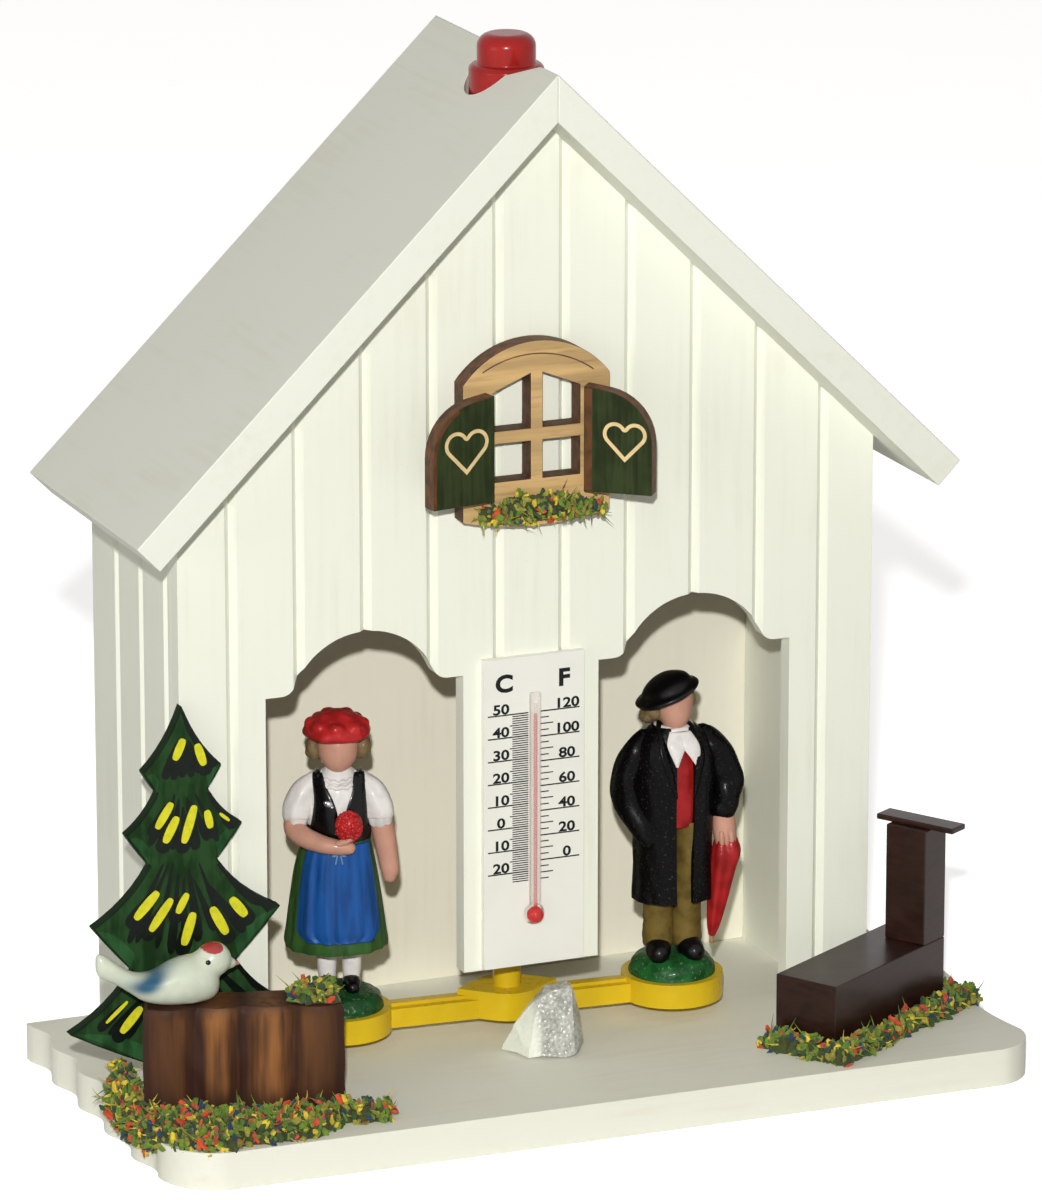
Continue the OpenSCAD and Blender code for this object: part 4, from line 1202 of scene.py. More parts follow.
    def crumb(self, bm, centre, size, kind, rng):
        """One flat, uneven crumb."""
        turn = Euler([rng.uniform(0, 6.28) for _ in range(3)]).to_matrix().to_4x4()
        flat = Matrix.Diagonal((0.55, rng.uniform(0.2, 0.34), rng.uniform(0.13, 0.26), 1))
        made = bmesh.ops.create_icosphere(bm, subdivisions=1, radius=size,
                                          matrix=Matrix.Translation(centre) @ turn @ flat)
        for vert in made["verts"]:
            vert.co += Vector([rng.uniform(-1, 1) for _ in range(3)]) * size * 0.07
        mark({f for v in made["verts"] for f in v.link_faces}, kind)

    def blade(self, bm, point, normal, size, kind, rng):
        """Thin curled thread of moss."""
        lean = (normal + Vector([rng.uniform(-1, 1) for _ in range(3)])).normalized()
        bend = Vector([rng.uniform(-0.4, 0.4) for _ in range(3)])
        run = size * rng.uniform(0.7, 1.4)
        stations = [(*(point + lean * run * t + bend * run * t * t), 0.14 * MM * (1.15 - t))
                    for t in (0, 0.5, 1)]
        limb(bm, stations, kind, 4, 2)


class WEATHER_OT_well(Operator):
    """Varnish the well and break the quartz stone"""

    bl_idname = "weather_house.well"
    bl_label = "Well and stone"
    bl_options = {"REGISTER", "UNDO"}

    def execute(self, context):
        garden = context.scene.weather_house.garden
        varnish = self.varnish(garden.varnish)
        for node in ("well_trough", "well_post", "post_cap"):
            soft_edged("varnished_" + node, solid(node), [varnish], "house", "well_brown", [node], 0.2 * MM)
        bm = solid("quartz_stone")
        bmesh.ops.triangulate(bm, faces=bm.faces[:])
        bmesh.ops.subdivide_edges(bm, edges=bm.edges[:], cuts=3, use_grid_fill=True)
        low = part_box("quartz_stone")[0]
        centre = sum((v.co for v in bm.verts), Vector()) / len(bm.verts)
        for vert in bm.verts:
            cell = noise.cell_vector(vert.co / (2.3 * MM) + Vector((3.3, 1.7, 0.4)))
            fine = noise.noise(vert.co / (0.9 * MM))
            pull = 0.04 + 0.06 * cell.x + 0.05 * fine
            vert.co = vert.co.lerp(centre, max(0, pull))
            vert.co.z = max(vert.co.z, low.z)
        stone = self.quartz(garden.quartz, low.x / MM)
        piece("broken_quartz", bm, [stone], "house", "quartz", ["quartz_stone"], sharp=14)
        return {"FINISHED"}

    def varnish(self, shade):
        """Dark varnish over level fibres."""
        f = finish("well_brown")
        fibre = f.noise(0.9, (0.3, 0.3, 1), 4)
        cloud = f.noise(5)
        thin = f.fade(fibre * 0.6 + cloud * 0.4, 0.35, 0.65)
        shade = f.mix(thin, scaled(shade, 0.6), scaled(shade, 1.15))
        return f.surface(shade, 0.3 + 0.14 * fibre, fibre, 0.025, specular_ior_level=0.2, coat_weight=0.12,
                         coat_roughness=0.12)

    def quartz(self, shade, edge):
        """Grainy stone with a clear, smooth face at its left edge."""
        f = finish("quartz")
        clear = 1 - f.fade(f.along((1, 0, 0), (edge, 0, 0)), 3.6, 5.4)
        cloud = f.noise(2.5, detail=4)
        grain = f.add("TexVoronoi", {}, {"Vector": f.place(), "Scale": 1 / (0.7 * MM)}, 0)
        fleck = f.noise(0.5, detail=3)
        shade = f.mix(f.fade(cloud * 0.5 + fleck * 0.5, 0.36, 0.62), scaled(shade, 0.55), tuple(shade))
        shade = f.mix(clear * 0.9, shade, srgb(238, 242, 228))
        relief = (grain * 0.6 + fleck * 0.4) * (1 - 0.8 * clear)
        return f.surface(shade, 0.12 + 0.4 * grain, relief, 0.22, coat_weight=0.3)


# The two figures, in millimetres round their own upright axis


def on_bar(side, turn):
    """Place of a figure that stands on one end of the swing bar."""
    bar = Matrix.Rotation(math.radians(REST_TURN), 4, "Z")
    middle = Matrix.Translation(spot(0, AXIS_Y, DISC_TOP)) @ bar
    stand = Matrix.Translation(spot(side * ARM, 0, 0)) @ Matrix.Rotation(math.radians(turn), 4, "Z")
    return middle @ stand @ Matrix.Scale(MM, 4)


def foot_rings():
    """Domed foot under a figure, lumpy like modelled grass."""
    profile = ((6.6, 0), (6.6, 0.5), (6.5, 1.1), (6.15, 1.8), (5.5, 2.4), (4.5, 2.85), (3.2, 3.15),
               (1.6, 3.3))
    rings = []
    for r, z in curve(profile, 3):
        rings.append(oval(z, r, r, 64))
        for p in rings[-1]:
            p *= 1 - 0.035 * (0.6 + noise.noise(p / 1.1)) * (1 if z > 0.3 else 0.3)
    return rings


def grass(name, shade):
    """Grass paint with pale flecks."""
    f = finish(name)
    cloud = f.noise(1.6, detail=3)
    fleck = f.noise(0.45, detail=2)
    shade = f.mix(f.fade(cloud, 0.35, 0.65), scaled(shade, 0.55), tuple(shade))
    shade = f.mix(f.fade(fleck, 0.62, 0.74) * 0.45, shade, srgb(170, 190, 150))
    return f.surface(shade, 0.25 + 0.2 * fleck, cloud * 0.5 + fleck * 0.5, 0.18, specular_ior_level=0.15,
                     coat_weight=0.15, coat_roughness=0.1)


class Figure:
    """Shared ways of making the two figures"""

    def begin(self, side, turn, node, slot):
        """Say where the figure stands and which solid it dresses."""
        self.matrix = on_bar(side, turn)
        self.node = node
        self.slot = slot

    def foot(self, name, material):
        """Domed foot that stands on the end of the bar."""
        bm = bmesh.new()
        loft(bm, foot_rings())
        self.done(name, bm, material)

    def face(self, bm, rows, nose_z, nose_turn, rise):
        """Plain face through rows of height, half width, half depth and shift, with a faint nose."""

        def bridge(z):
            swell = rise * math.exp(-((z - nose_z) / 0.9) ** 2)
            return lambda a: 1 + swell * math.exp(-((math.degrees(a) - nose_turn) / 9) ** 2)

        loft(bm, [oval(z, rx, ry, 48, (0, y), bridge(z)) for z, rx, ry, y in curve(rows, 3)])

    def roll(self, bm, stations, cols=8):
        """Closed roll of cloth through stations of x, y, z and radius."""
        up = Vector((0, 0, 1))
        rings = []
        for i, (x, y, z, radius) in enumerate(stations):
            ahead, behind = stations[(i + 1) % len(stations)], stations[i - 1]
            head = (Vector(ahead[:3]) - Vector(behind[:3])).normalized()
            out = head.cross(up).normalized()
            rings.append([Vector((x, y, z)) + out * radius * math.cos(a) + up * radius * 0.8 * math.sin(a)
                          for a in (2 * math.pi * k / cols for k in range(cols))])
        hoop(bm, rings)

    def cloth(self, bm, rows, cols=8):
        """Thin cloth on a rounded front, through rows of height, two ends in x, half width and depth."""
        rings = []
        for z, x0, x1, rx, ry in rows:
            outer, inner = [], []
            for i in range(cols + 1):
                x = x0 + (x1 - x0) * i / cols
                y = -math.sqrt(max(0.04, 1 - (x / rx) ** 2)) * ry
                outer.append(Vector((x, y - (0.25 if 0 < i < cols else 0.1), z)))
                inner.append(Vector((x, y + 0.35, z)))
            rings.append(outer + inner[::-1])
        loft(bm, rings)

    def done(self, name, bm, material, sharp=60):
        """Set a shape down as a piece of the figure, with one finish or a list of them."""
        materials = material if isinstance(material, list) else [material]
        return piece(name, bm, materials, "carrier", self.slot, [self.node], self.matrix, sharp)


class WEATHER_OT_woman(Figure, Operator):
    """Model and paint the woman"""

    bl_idname = "weather_house.woman"
    bl_label = "Woman"
    bl_options = {"REGISTER", "UNDO"}

    # Skirt: height, half width, half depth and shift
    rings = (
        (9.7, 7.6, 6.3, -0.5), (10.5, 7.7, 6.35, -0.5), (12.5, 7.4, 6.0, -0.5), (15, 7.1, 5.65, -0.5),
        (18, 6.7, 5.2, -0.5), (21, 6.25, 4.75, -0.5), (23.5, 5.75, 4.4, -0.45), (25.5, 5.2, 4.05, -0.3),
        (27, 4.75, 3.8, 0),
    )

    def execute(self, context):
        paint = context.scene.weather_house.figures
        self.begin(-1, -16, "woman_figure", "woman_paint")
        skin = gloss("woman_skin", paint.skin, 0.36, 2.5, 0.8, 0.03, 0.25, 0.88)
        white = gloss("woman_white", paint.white, 0.35, 2.0, 0.7, 0.05, 0.25, 0.84)
        black = gloss("woman_black", paint.black, 0.28, 2.0, 0.6, 0.04, 0.4, 0.5)
        red = gloss("woman_red", paint.red, 0.3, 2.5, 0.6, 0.05, 0.4, 0.66)
        blue = gloss("woman_blue", paint.blue, 0.38, 1.5, 0.7, 0.06, 0.25, 0.62, (1, 1, 0.14))
        green = gloss("woman_green", paint.green, 0.36, 1.5, 0.7, 0.06, 0.25, 0.6, (1, 1, 0.2))
        hair = gloss("woman_hair", paint.hair, 0.45, 1.4, 0.5, 0.08, 0.15, 0.6)
        silver = metal("woman_silver", paint.silver, (1, 1, 1))
        self.foot("woman_foot", grass("woman_foot_green", scaled(paint.foot, 0.62)))
        bm = bmesh.new()
        for side in (-1, 1):
            shoe = ((side * 1.75, 0.3, 4.0, 1.3), (side * 1.8, -1.2, 3.8, 1.35), (side * 1.9, -2.5, 3.6, 1.1))
            sock = ((side * 1.75, 0.2, 4.2, 1.2), (side * 1.85, 0.1, 6.0, 1.4), (side * 1.9, 0, 10.4, 1.5))
            limb(bm, shoe, 1, 16)
            limb(bm, sock, 0, 18)
        self.done("woman_legs", bm, [white, black])
        bm = bmesh.new()
        loft(bm, [oval(z, rx, ry, 72, (x, 0), self.folds(z)) for z, rx, ry, x in curve(self.rings, 3)])
        self.done("woman_skirt", bm, green)
        bm = bmesh.new()
        self.apron(bm)
        self.done("woman_apron", bm, blue)
        bm = bmesh.new()
        for side in (-1, 1):
            ball(bm, (side * 0.6, -4.75, 24.9), (0.55, 0.25, 0.28), (0, side * 16, 0), cols=12, rows=8)
            limb(bm, ((side * 0.25, -4.75, 24.8, 0.12), (side * 0.5, -4.95, 23.7, 0.15)), 0, 8)
        self.done("woman_bow", bm, gloss("woman_bow", srgb(112, 150, 190), 0.35, 1, 0.4, 0.03, 0.3, 0.8))
        self.blouse(white)
        self.bodice(black, silver)
        self.arms(skin, red)
        self.head(skin, hair)
        self.hat(red)
        return {"FINISHED"}

    def folds(self, z):
        """Folds of the skirt, deepest at the hem."""
        depth = max(0, 0.045 * (27 - z) / 19)

        def wave(a):
            return 1 + depth * (0.6 * math.cos(15 * a + 0.4) + 0.4 * math.cos(8 * a + 1.1)) - depth * 0.4

        return wave

    def apron(self, bm):
        """Sheet over the front of the skirt, thin at its borders."""
        cols, stations = 36, curve(self.rings[1:], 3)
        lows, highs = [], []
        bottom, top = 11.6, 26.2
        for z, rx, ry, x in stations:
            z = min(max(z, bottom), top)
            t = (z - bottom) / (top - bottom)
            half = math.radians(57 + 3 * t - 16 * max(0, 1 - 9 * t) ** 2)
            wave = self.folds(z)
            low, high = [], []
            for i in range(cols + 1):
                s = -1 + 2 * i / cols
                a = math.radians(-84.5) + half * s
                border = min(1, (1 - abs(s)) * 9) * min(1, 0.25 + t * 12)
                pleat = (0.2 * math.cos(s * 17) + 0.14 * math.cos(s * 29 + 1)) * (1 - 0.6 * t)
                share = wave(a)
                rim = 0.08 + (0.42 + pleat) * border
                out = Vector((math.cos(a), math.sin(a), 0))
                p = Vector((x + rx * share * math.cos(a), ry * share * math.sin(a), z))
                low.append(p - out * 0.35)
                high.append(p + out * rim)
            lows.append(low)
            highs.append(high)
        loft(bm, [high + low[::-1] for low, high in zip(lows, highs)])

    def blouse(self, white):
        """Blouse with two frills at the neck and puffed sleeves."""
        bm = bmesh.new()
        body = ((26.6, 4.4, 3.5), (29, 4.6, 3.7), (31.5, 4.7, 3.8), (33.6, 4.5, 3.5), (35.2, 3.8, 2.9),
                (36.3, 2.6, 2.3), (37.2, 1.9, 1.9))
        loft(bm, [oval(z, rx, ry, 40) for z, rx, ry in curve(body, 3)])
        for layer, (z, radius) in enumerate(((36.2, 2.5), (35.5, 2.85))):
            ring = [(radius * math.cos(a), radius * 0.95 * math.sin(a) - 0.4,
                     z + 0.14 * math.sin(13 * a + layer) - 0.7 * max(0, -math.sin(a)), 0.45)
                    for a in (2 * math.pi * k / 56 for k in range(56))]
            self.roll(bm, ring)
        for side in (-1, 1):
            def puff(a, t, s=side):
                return 1 + 0.06 * math.sin(6 * a + s) * (0.2 + t) + 0.025 * math.sin(11 * a + 2 * t)

            sleeve = ((side * 3.5, 0, 35.1, 1.4), (side * 4.9, -0.2, 33.5, 2.0),
                      (side * 5.8, -0.5, 31.4, 2.25), (side * 6.1, -0.6, 30.0, 2.15),
                      (side * 6.15, -0.65, 29.5, 1.9))
            limb(bm, sleeve, 0, 28, 5, puff)
        self.done("woman_blouse", bm, white)

    def bodice(self, black, silver):
        """Belt, two open fronts, shoulder straps and a clasp."""
        bm = bmesh.new()
        rings = []
        for t in (0, 0.25, 0.5, 0.75, 0.95, 1):
            rounding = 0.3 * max(0, t - 0.95) / 0.05
            ring = oval(26.5, 4.9 - rounding, 4.0 - rounding, 48)
            for p in ring:
                p.z += t * (2.1 + 2.8 * min(1, max(0, p.y / 3)))
            rings.append(ring)
        loft(bm, rings)
        shape = ((28.3, 4.75, 3.85), (30, 4.85, 3.95), (31.5, 4.8, 3.95), (33, 4.7, 3.75), (34.2, 4.6, 3.4),
                 (35.2, 4.5, 2.9), (36.2, 4.5, 2.2), (36.6, 4.4, 1.6))
        left = ((-4.2, 0), (-3.9, -0.05), (-3.7, -0.3), (-3.6, -0.8), (-3.7, -1.4), (-3.8, -1.9),
                (-3.8, -2.2), (-3.7, -2.4))
        right = ((0.9, 4.5), (0.9, 4.4), (1.1, 4.3), (1.6, 4.2), (2.0, 4.1), (2.1, 4.0),
                 (2.2, 3.9), (2.4, 3.8))
        for ends in (left, right):
            self.cloth(bm, curve([(z, *end, rx, ry) for end, (z, rx, ry) in zip(ends, shape)], 3))
        for side in (-1, 1):
            strap = ((side * 3.1, -1.5, 36.3, 0.6), (side * 3.1, 1.0, 36.1, 0.7),
                     (side * 3.0, 3.0, 33.4, 0.75), (side * 2.6, 3.7, 29.8, 0.8))
            limb(bm, strap, 0, 12, 4, flat=0.6)
        ball(bm, (-1.5, -4.2, 32.6), (0.7, 0.35, 0.5), (0, 25, 0), 1)
        ball(bm, (-1.9, -4.35, 32.9), (0.33, 0.28, 0.3), index=1)
        ball(bm, (-1.0, -4.4, 32.2), (0.3, 0.25, 0.28), index=1)
        self.done("woman_bodice", bm, [black, silver])

    def arms(self, skin, red):
        """One arm across the front with a posy, the other hanging."""
        bm = bmesh.new()
        bent = ((-6.2, -0.7, 29.8, 1.5), (-6.5, -1.2, 28.1, 1.6), (-5.0, -3.0, 27.2, 1.55),
                (-2.4, -4.6, 26.6, 1.35), (-0.2, -5.2, 26.3, 1.15), (1.5, -5.3, 26.2, 0.95))
        thumb = ((-0.2, -5.7, 26.9, 0.6), (1.0, -6.1, 27.5, 0.5), (1.7, -6.0, 27.8, 0.4))
        hanging = ((6.1, -0.4, 29.9, 1.6), (6.6, -0.5, 27.6, 1.75), (7.0, -0.8, 25.2, 1.65),
                   (7.35, -1.0, 23.2, 1.5), (7.55, -1.2, 21.6, 1.4), (7.5, -1.3, 20.7, 1.1))
        limb(bm, bent, 0, 18)
        limb(bm, thumb, 0, 10)
        limb(bm, hanging, 0, 18)
        self.done("woman_arms", bm, skin)
        bm = bmesh.new()
        rng = random.Random(9)
        heart, size = Vector((1.45, -5.3, 29.5)), Vector((1.8, 1.6, 2.15))
        blossoms, blossom = 170, 0.34
        ball(bm, heart, size)
        for _ in range(blossoms):
            way = Vector([rng.gauss(0, 1) for _ in range(3)]).normalized()
            ball(bm, heart + way * size, (blossom,) * 3, cols=8, rows=5)
        self.done("woman_posy", bm, red)

    def head(self, skin, hair):
        """Head, neck and hair."""
        bm = bmesh.new()
        rows = ((36.5, 0.8, 1.1, -0.2), (36.9, 1.3, 1.75, -0.35), (37.5, 1.95, 2.45, -0.4),
                (38.3, 2.5, 2.9, -0.35), (39.3, 2.9, 3.1, -0.3), (40.4, 3.05, 3.2, -0.25),
                (41.4, 3.05, 3.25, -0.15), (42.6, 2.7, 2.9, 0))
        self.face(bm, rows, 39.6, 270, 0.05)
        limb(bm, ((0, 0.3, 34.8, 1.5), (0, 0.2, 37.4, 1.35)), 0, 20)
        self.done("woman_head", bm, skin)
        bm = bmesh.new()
        made = ball(bm, (0, 1.0, 40.4), (4.1, 3.2, 3.2), cols=40, rows=20)
        for side in (-1, 1):
            made += ball(bm, (side * 3.6, -0.1, 40.3), (1.2, 1.8, 1.9), (0, side * 6, 0), cols=28, rows=16)
            made += ball(bm, (side * 3.9, 0.2, 39.6), (0.95, 1.5, 1.1), (0, 0, 0), cols=24, rows=14)
        rough(made, 0.22, 0.9, 5, (1, 1, 0.35))
        self.done("woman_hair", bm, hair)

    def hat(self, red):
        """Low round hat set with soft knobs."""
        bm = bmesh.new()
        profile = ((2.0, 41.8), (4.2, 41.8), (4.85, 42.1), (5.05, 42.6), (4.9, 43.15), (4.5, 43.7),
                   (4.0, 44.2), (3.4, 44.75), (2.7, 45.2), (1.8, 45.6), (0.9, 45.8), (0.3, 45.85))

        def lumps(z):
            def wave(a):
                broad = 0.03 * math.sin(5 * a + 0.8 * z) * math.sin(1.9 * z)
                return 1 + broad + 0.012 * math.sin(11 * a + z)

            return wave

        loft(bm, [oval(z, r, r * 0.97, 56, (-0.1, 0.2), lumps(z)) for r, z in curve(profile, 2)])
        for count, ring, z, size in ((8, 3.5, 43.7, 1.35), (4, 1.75, 44.75, 1.35)):
            for k in range(count):
                a = 2 * math.pi * (k + 0.37 * count) / count
                centre = (ring * math.cos(a) - 0.1, 0.2 + ring * math.sin(a), z)
                rough(ball(bm, centre, (size, size, size * 0.8), cols=24, rows=14), 0.1, 1.2, k)
        fuse(self.done("woman_hat", bm, red), 0.2, 4)


class WEATHER_OT_man(Figure, Operator):
    """Model and paint the man"""

    bl_idname = "weather_house.man"
    bl_label = "Man"
    bl_options = {"REGISTER", "UNDO"}

    # Coat: height, half width and half depth
    coat_rings = (
        (11.7, 6.0, 4.75), (13, 5.95, 4.7), (16, 5.85, 4.6), (20, 5.9, 4.6), (24, 6.0, 4.6), (28, 6.2, 4.6),
        (31, 6.3, 4.6), (34, 6.2, 4.4), (36.2, 5.5, 4.0), (37.8, 4.3, 3.4), (38.8, 3.1, 2.9),
    )

    def execute(self, context):
        paint = context.scene.weather_house.figures
        self.begin(1, -6, "man_figure", "man_paint")
        skin = gloss("man_skin", paint.skin, 0.36, 2.5, 0.8, 0.03, 0.25, 0.88)
        white = gloss("man_white", paint.white, 0.32, 2.0, 0.7, 0.05, 0.3, 0.86)
        black = gloss("man_black", paint.black, 0.34, 3.0, 0.6, 0.1, 0.35, 0.6)
        red = gloss("man_red", scaled(paint.red, 0.8), 0.36, 2.5, 0.6, 0.05, 0.2, 0.62)
        olive = gloss("man_olive", paint.olive, 0.4, 2.0, 0.6, 0.08, 0.25, 0.6)
        hair = gloss("man_hair", paint.hair, 0.45, 1.4, 0.5, 0.08, 0.15, 0.6)
        tan = gloss("umbrella_tip", srgb(176, 140, 96), 0.4, 1.0, 0.4, 0.02, 0.3, 0.7)
        self.foot("man_foot", grass("man_foot_green", paint.foot))
        bm = bmesh.new()
        for side in (-1, 1):
            shoe = ((side * 2.1, 0.6, 4.0, 1.6), (side * 2.45, -1.4, 3.95, 1.95),
                    (side * 2.7, -3.0, 3.7, 1.65))
            limb(bm, shoe, 0, 18)
        self.done("man_shoes", bm, black)
        bm = bmesh.new()
        self.trousers(bm)
        self.done("man_trousers", bm, olive)
        bm = bmesh.new()
        vest = ((23.6, 3.6, 4.15), (24.6, 3.9, 4.3), (28, 4.1, 4.45), (32, 4.2, 4.4), (35, 3.7, 4.0),
                (37.2, 2.6, 3.2))
        loft(bm, [oval(z, rx, ry, 40) for z, rx, ry in curve(vest, 3)])
        self.done("man_vest", bm, red)
        self.coat(self.lacquer(paint.black))
        self.kerchief(white)
        self.hand(skin)
        self.umbrella(red, tan)
        self.head(skin, hair)
        self.hat(black)
        return {"FINISHED"}

    def trousers(self, bm):
        """Two legs with creases over the shoes."""
        for side in (-1, 1):
            leg = ((4.2, 2.2, 2.2), (5.0, 2.4, 2.4), (8, 2.3, 2.3), (12, 2.3, 2.5), (16, 2.3, 2.9),
                   (20, 2.35, 3.6), (24.2, 2.2, 3.9))
            rings = []
            for z, rx, ry in curve(leg, 5):
                crease = 0.045 * math.sin(z * 3.1 + side) * max(0.15, 1 - abs(z - 8) / 7)

                def wave(a, c=crease, z=z):
                    return 1 + c * math.sin(2 * a + z) + 0.04 * max(0, math.cos(a + math.pi / 2)) ** 8

                rings.append(oval(z, rx, ry, 28, (side * 2.15, 0.1), wave))
            loft(bm, rings)

    def lacquer(self, shade):
        """Black lacquer over a grainy coat, with small glints."""
        f = finish("coat_black")
        skin = f.noise(0.6)
        grain = f.noise(0.32)
        glint = f.fade(grain, 0.63, 0.72)
        shade = f.mix(glint * 0.12, tuple(shade), srgb(150, 150, 146))
        return f.surface(shade, 0.22 + 0.14 * skin, skin * 0.5 + grain * 0.5, 0.08, specular_ior_level=0.07,
                         coat_weight=0.05, coat_roughness=0.1)

    def coat(self, black):
        """Open coat: one thick sheet that runs round the back from front edge to front edge."""
        bm = bmesh.new()
        cols = 60
        opening = -80.5
        rings = []
        for z, rx, ry in curve(self.coat_rings, 3):
            gap = 13 + 1.2 * math.sin((z - 12) / 7)
            low, high = [], []
            for i in range(cols + 1):
                s = i / cols
                a = math.radians(opening + gap + (360 - 2 * gap) * s)
                edge = min(1, min(s, 1 - s) * 16)
                fold = 0.1 * math.sin(9 * a) * max(0, (26 - z) / 14) + 0.05 * math.sin(17 * a + z)
                out = Vector((math.cos(a), math.sin(a), 0))
                p = Vector((rx * math.cos(a), ry * math.sin(a), z))
                low.append(p - out * 0.75)
                high.append(p + out * (0.22 * edge - 0.1 + fold * edge))
            rings.append(high + low[::-1])
        loft(bm, rings)
        for side in (-1, 1):
            lapel = ((side * 1.4 + 0.9, -4.6, 28.6, 0.3), (side * 2.0 + 0.8, -4.5, 31.6, 0.8),
                     (side * 2.6 + 0.6, -4.1, 34.6, 1.15), (side * 2.6 + 0.3, -3.0, 37.2, 0.95),
                     (side * 2.2, -0.9, 39.0, 0.8), (0, 1.6, 39.5, 0.8))
            limb(bm, lapel, 0, 16, 5, flat=0.4)

        def creases(a, t):
            return 1 + 0.05 * math.sin(3 * a + 9 * t) + 0.04 * math.sin(21 * t + 2 * a)

        pocketed = ((-4.2, 0.3, 36.3, 1.8), (-5.6, 0.3, 34.4, 2.35), (-6.8, 0.4, 31.4, 2.4),
                    (-7.2, 0.3, 28.8, 2.3), (-6.4, -0.6, 25.8, 2.1), (-4.9, -1.9, 23.0, 1.9),
                    (-4.2, -2.4, 21.6, 1.5))
        hanging = ((4.4, 0.3, 36.4, 1.9), (6.2, 0.3, 34.8, 2.4), (7.9, 0.2, 31.6, 2.45),
                   (8.4, 0, 29.2, 2.35), (8.0, -0.5, 26.8, 2.2), (7.7, -0.6, 25.2, 2.1))
        for sleeve in (pocketed, hanging):
            limb(bm, sleeve, 0, 24, 6, creases)
        self.done("man_coat", bm, black, 50)

    def kerchief(self, white):
        """Kerchief round the neck with two pointed ends."""
        bm = bmesh.new()
        neck = [(2.35 * math.cos(a), 2.3 * math.sin(a) - 0.2, 38.6 - 0.3 * max(0, -math.sin(a)), 0.75)
                for a in (2 * math.pi * k / 40 for k in range(40))]
        self.roll(bm, neck)
        for side, tip in ((-1, (-0.5, -4.85, 33.4)), (1, (2.7, -4.7, 33.2))):
            self.bib(bm, ((0.3 + side * 0.3, -3.2, 38.4, 1.3), (0.5 + side * 0.9, -4.2, 36.8, 1.5),
                          (0.8 + side * 1.3, -4.65, 35.3, 1.0), (*tip, 0.2)))
        self.done("man_kerchief", bm, white)

    def bib(self, bm, stations):
        """Pointed end of the kerchief through stations of x, y, z and half its width."""
        rings = []
        for x, y, z, half in curve(stations, 5):
            ring = []
            for a in (2 * math.pi * k / 14 for k in range(14)):
                depth = 0.3 * math.sin(a) + 0.05 * half * math.cos(a) ** 2
                ring.append(Vector((x, y, z)) + Vector((half * math.cos(a), depth, 0)))
            rings.append(ring)
        loft(bm, rings)

    def hand(self, skin):
        """Hand that holds the umbrella, with three fingers in front."""
        bm = bmesh.new()
        fist = ((7.6, -0.6, 25.6, 1.7), (7.65, -0.8, 23.8, 1.75), (7.75, -1.1, 21.8, 1.8),
                (7.9, -1.3, 20.2, 1.6))
        limb(bm, fist, 0, 20)
        for k in range(3):
            finger = ((6.9 + 0.75 * k, -2.6, 21.9, 0.36), (6.95 + 0.75 * k, -2.75, 20.9, 0.4),
                      (7.05 + 0.7 * k, -2.5, 19.9, 0.36))
            limb(bm, finger, 0, 10)
        self.done("man_hands", bm, skin)

    def umbrella(self, red, tan):
        """Furled umbrella, point down."""
        bm = bmesh.new()

        def pleats(a, t):
            return 1 + (0.14 - 0.06 * t) * math.cos(5 * a + 2.2 * t)

        furled = ((7.95, -1.4, 19.6, 1.85), (7.95, -1.4, 18.4, 2.15), (7.45, -1.5, 15.8, 1.9),
                  (6.6, -1.6, 11, 1.45), (6.05, -1.65, 7.6, 1.0), (5.8, -1.7, 6.0, 0.6))
        limb(bm, furled, 0, 30, 5, pleats)
        limb(bm, ((5.75, -1.7, 6.1, 0.34), (5.65, -1.75, 4.6, 0.3)), 1, 12)
        self.done("man_umbrella", bm, [red, tan])

    def head(self, skin, hair):
        """Head, neck and hair."""
        bm = bmesh.new()
        rows = ((38.0, 0.8, 1.1, -0.2), (38.4, 1.3, 1.8, -0.4), (39.0, 1.8, 2.45, -0.5),
                (39.9, 2.3, 2.9, -0.5), (41.0, 2.65, 3.1, -0.45), (42.2, 2.8, 3.15, -0.35),
                (43.4, 2.8, 3.1, -0.2), (44.6, 2.5, 2.8, 0))
        self.face(bm, rows, 41.2, 272, 0.06)
        limb(bm, ((0, 0.3, 36.6, 1.6), (0, 0.2, 39.2, 1.45)), 0, 20)
        self.done("man_head", bm, skin)
        bm = bmesh.new()
        made = ball(bm, (-0.7, 1.0, 41.7), (3.7, 3.0, 3.0), cols=40, rows=20)
        made += ball(bm, (-3.1, 0.1, 41.1), (1.6, 2.0, 1.7), cols=28, rows=16)
        made += ball(bm, (-3.9, 0.4, 40.3), (1.3, 1.7, 1.3), cols=24, rows=14)
        made += ball(bm, (2.5, 0.3, 42.6), (0.9, 1.7, 1.7), cols=24, rows=16)
        rough(made, 0.22, 0.9, 8, (1, 1, 0.35))
        self.done("man_hair", bm, hair)

    def hat(self, black):
        """Round hat, tilted to one side."""
        bm = bmesh.new()
        tilt = Matrix.Translation((-0.9, 0, 43.5)) @ Matrix.Rotation(math.radians(-22), 4, "Y")
        profile = ((0.3, -0.2, 0), (3.6, -0.3, 0), (4.7, -0.25, 0), (5.05, 0.05, 0), (4.95, 0.4, 0),
                   (4.5, 0.62, 0.1), (4.1, 0.9, 0.2), (3.8, 1.4, 0.3), (3.3, 2.0, 0.4), (2.5, 2.5, 0.4),
                   (1.4, 2.85, 0.4), (0.3, 2.95, 0.4))
        loft(bm, [oval(z, r, r * 0.96, 44, (x, 0)) for r, z, x in curve(profile, 2)])
        bmesh.ops.transform(bm, matrix=tilt, verts=bm.verts[:])
        rough(bm.verts, 0.1, 2.2, 3)
        self.done("man_hat", bm, black, 70)


# The stage


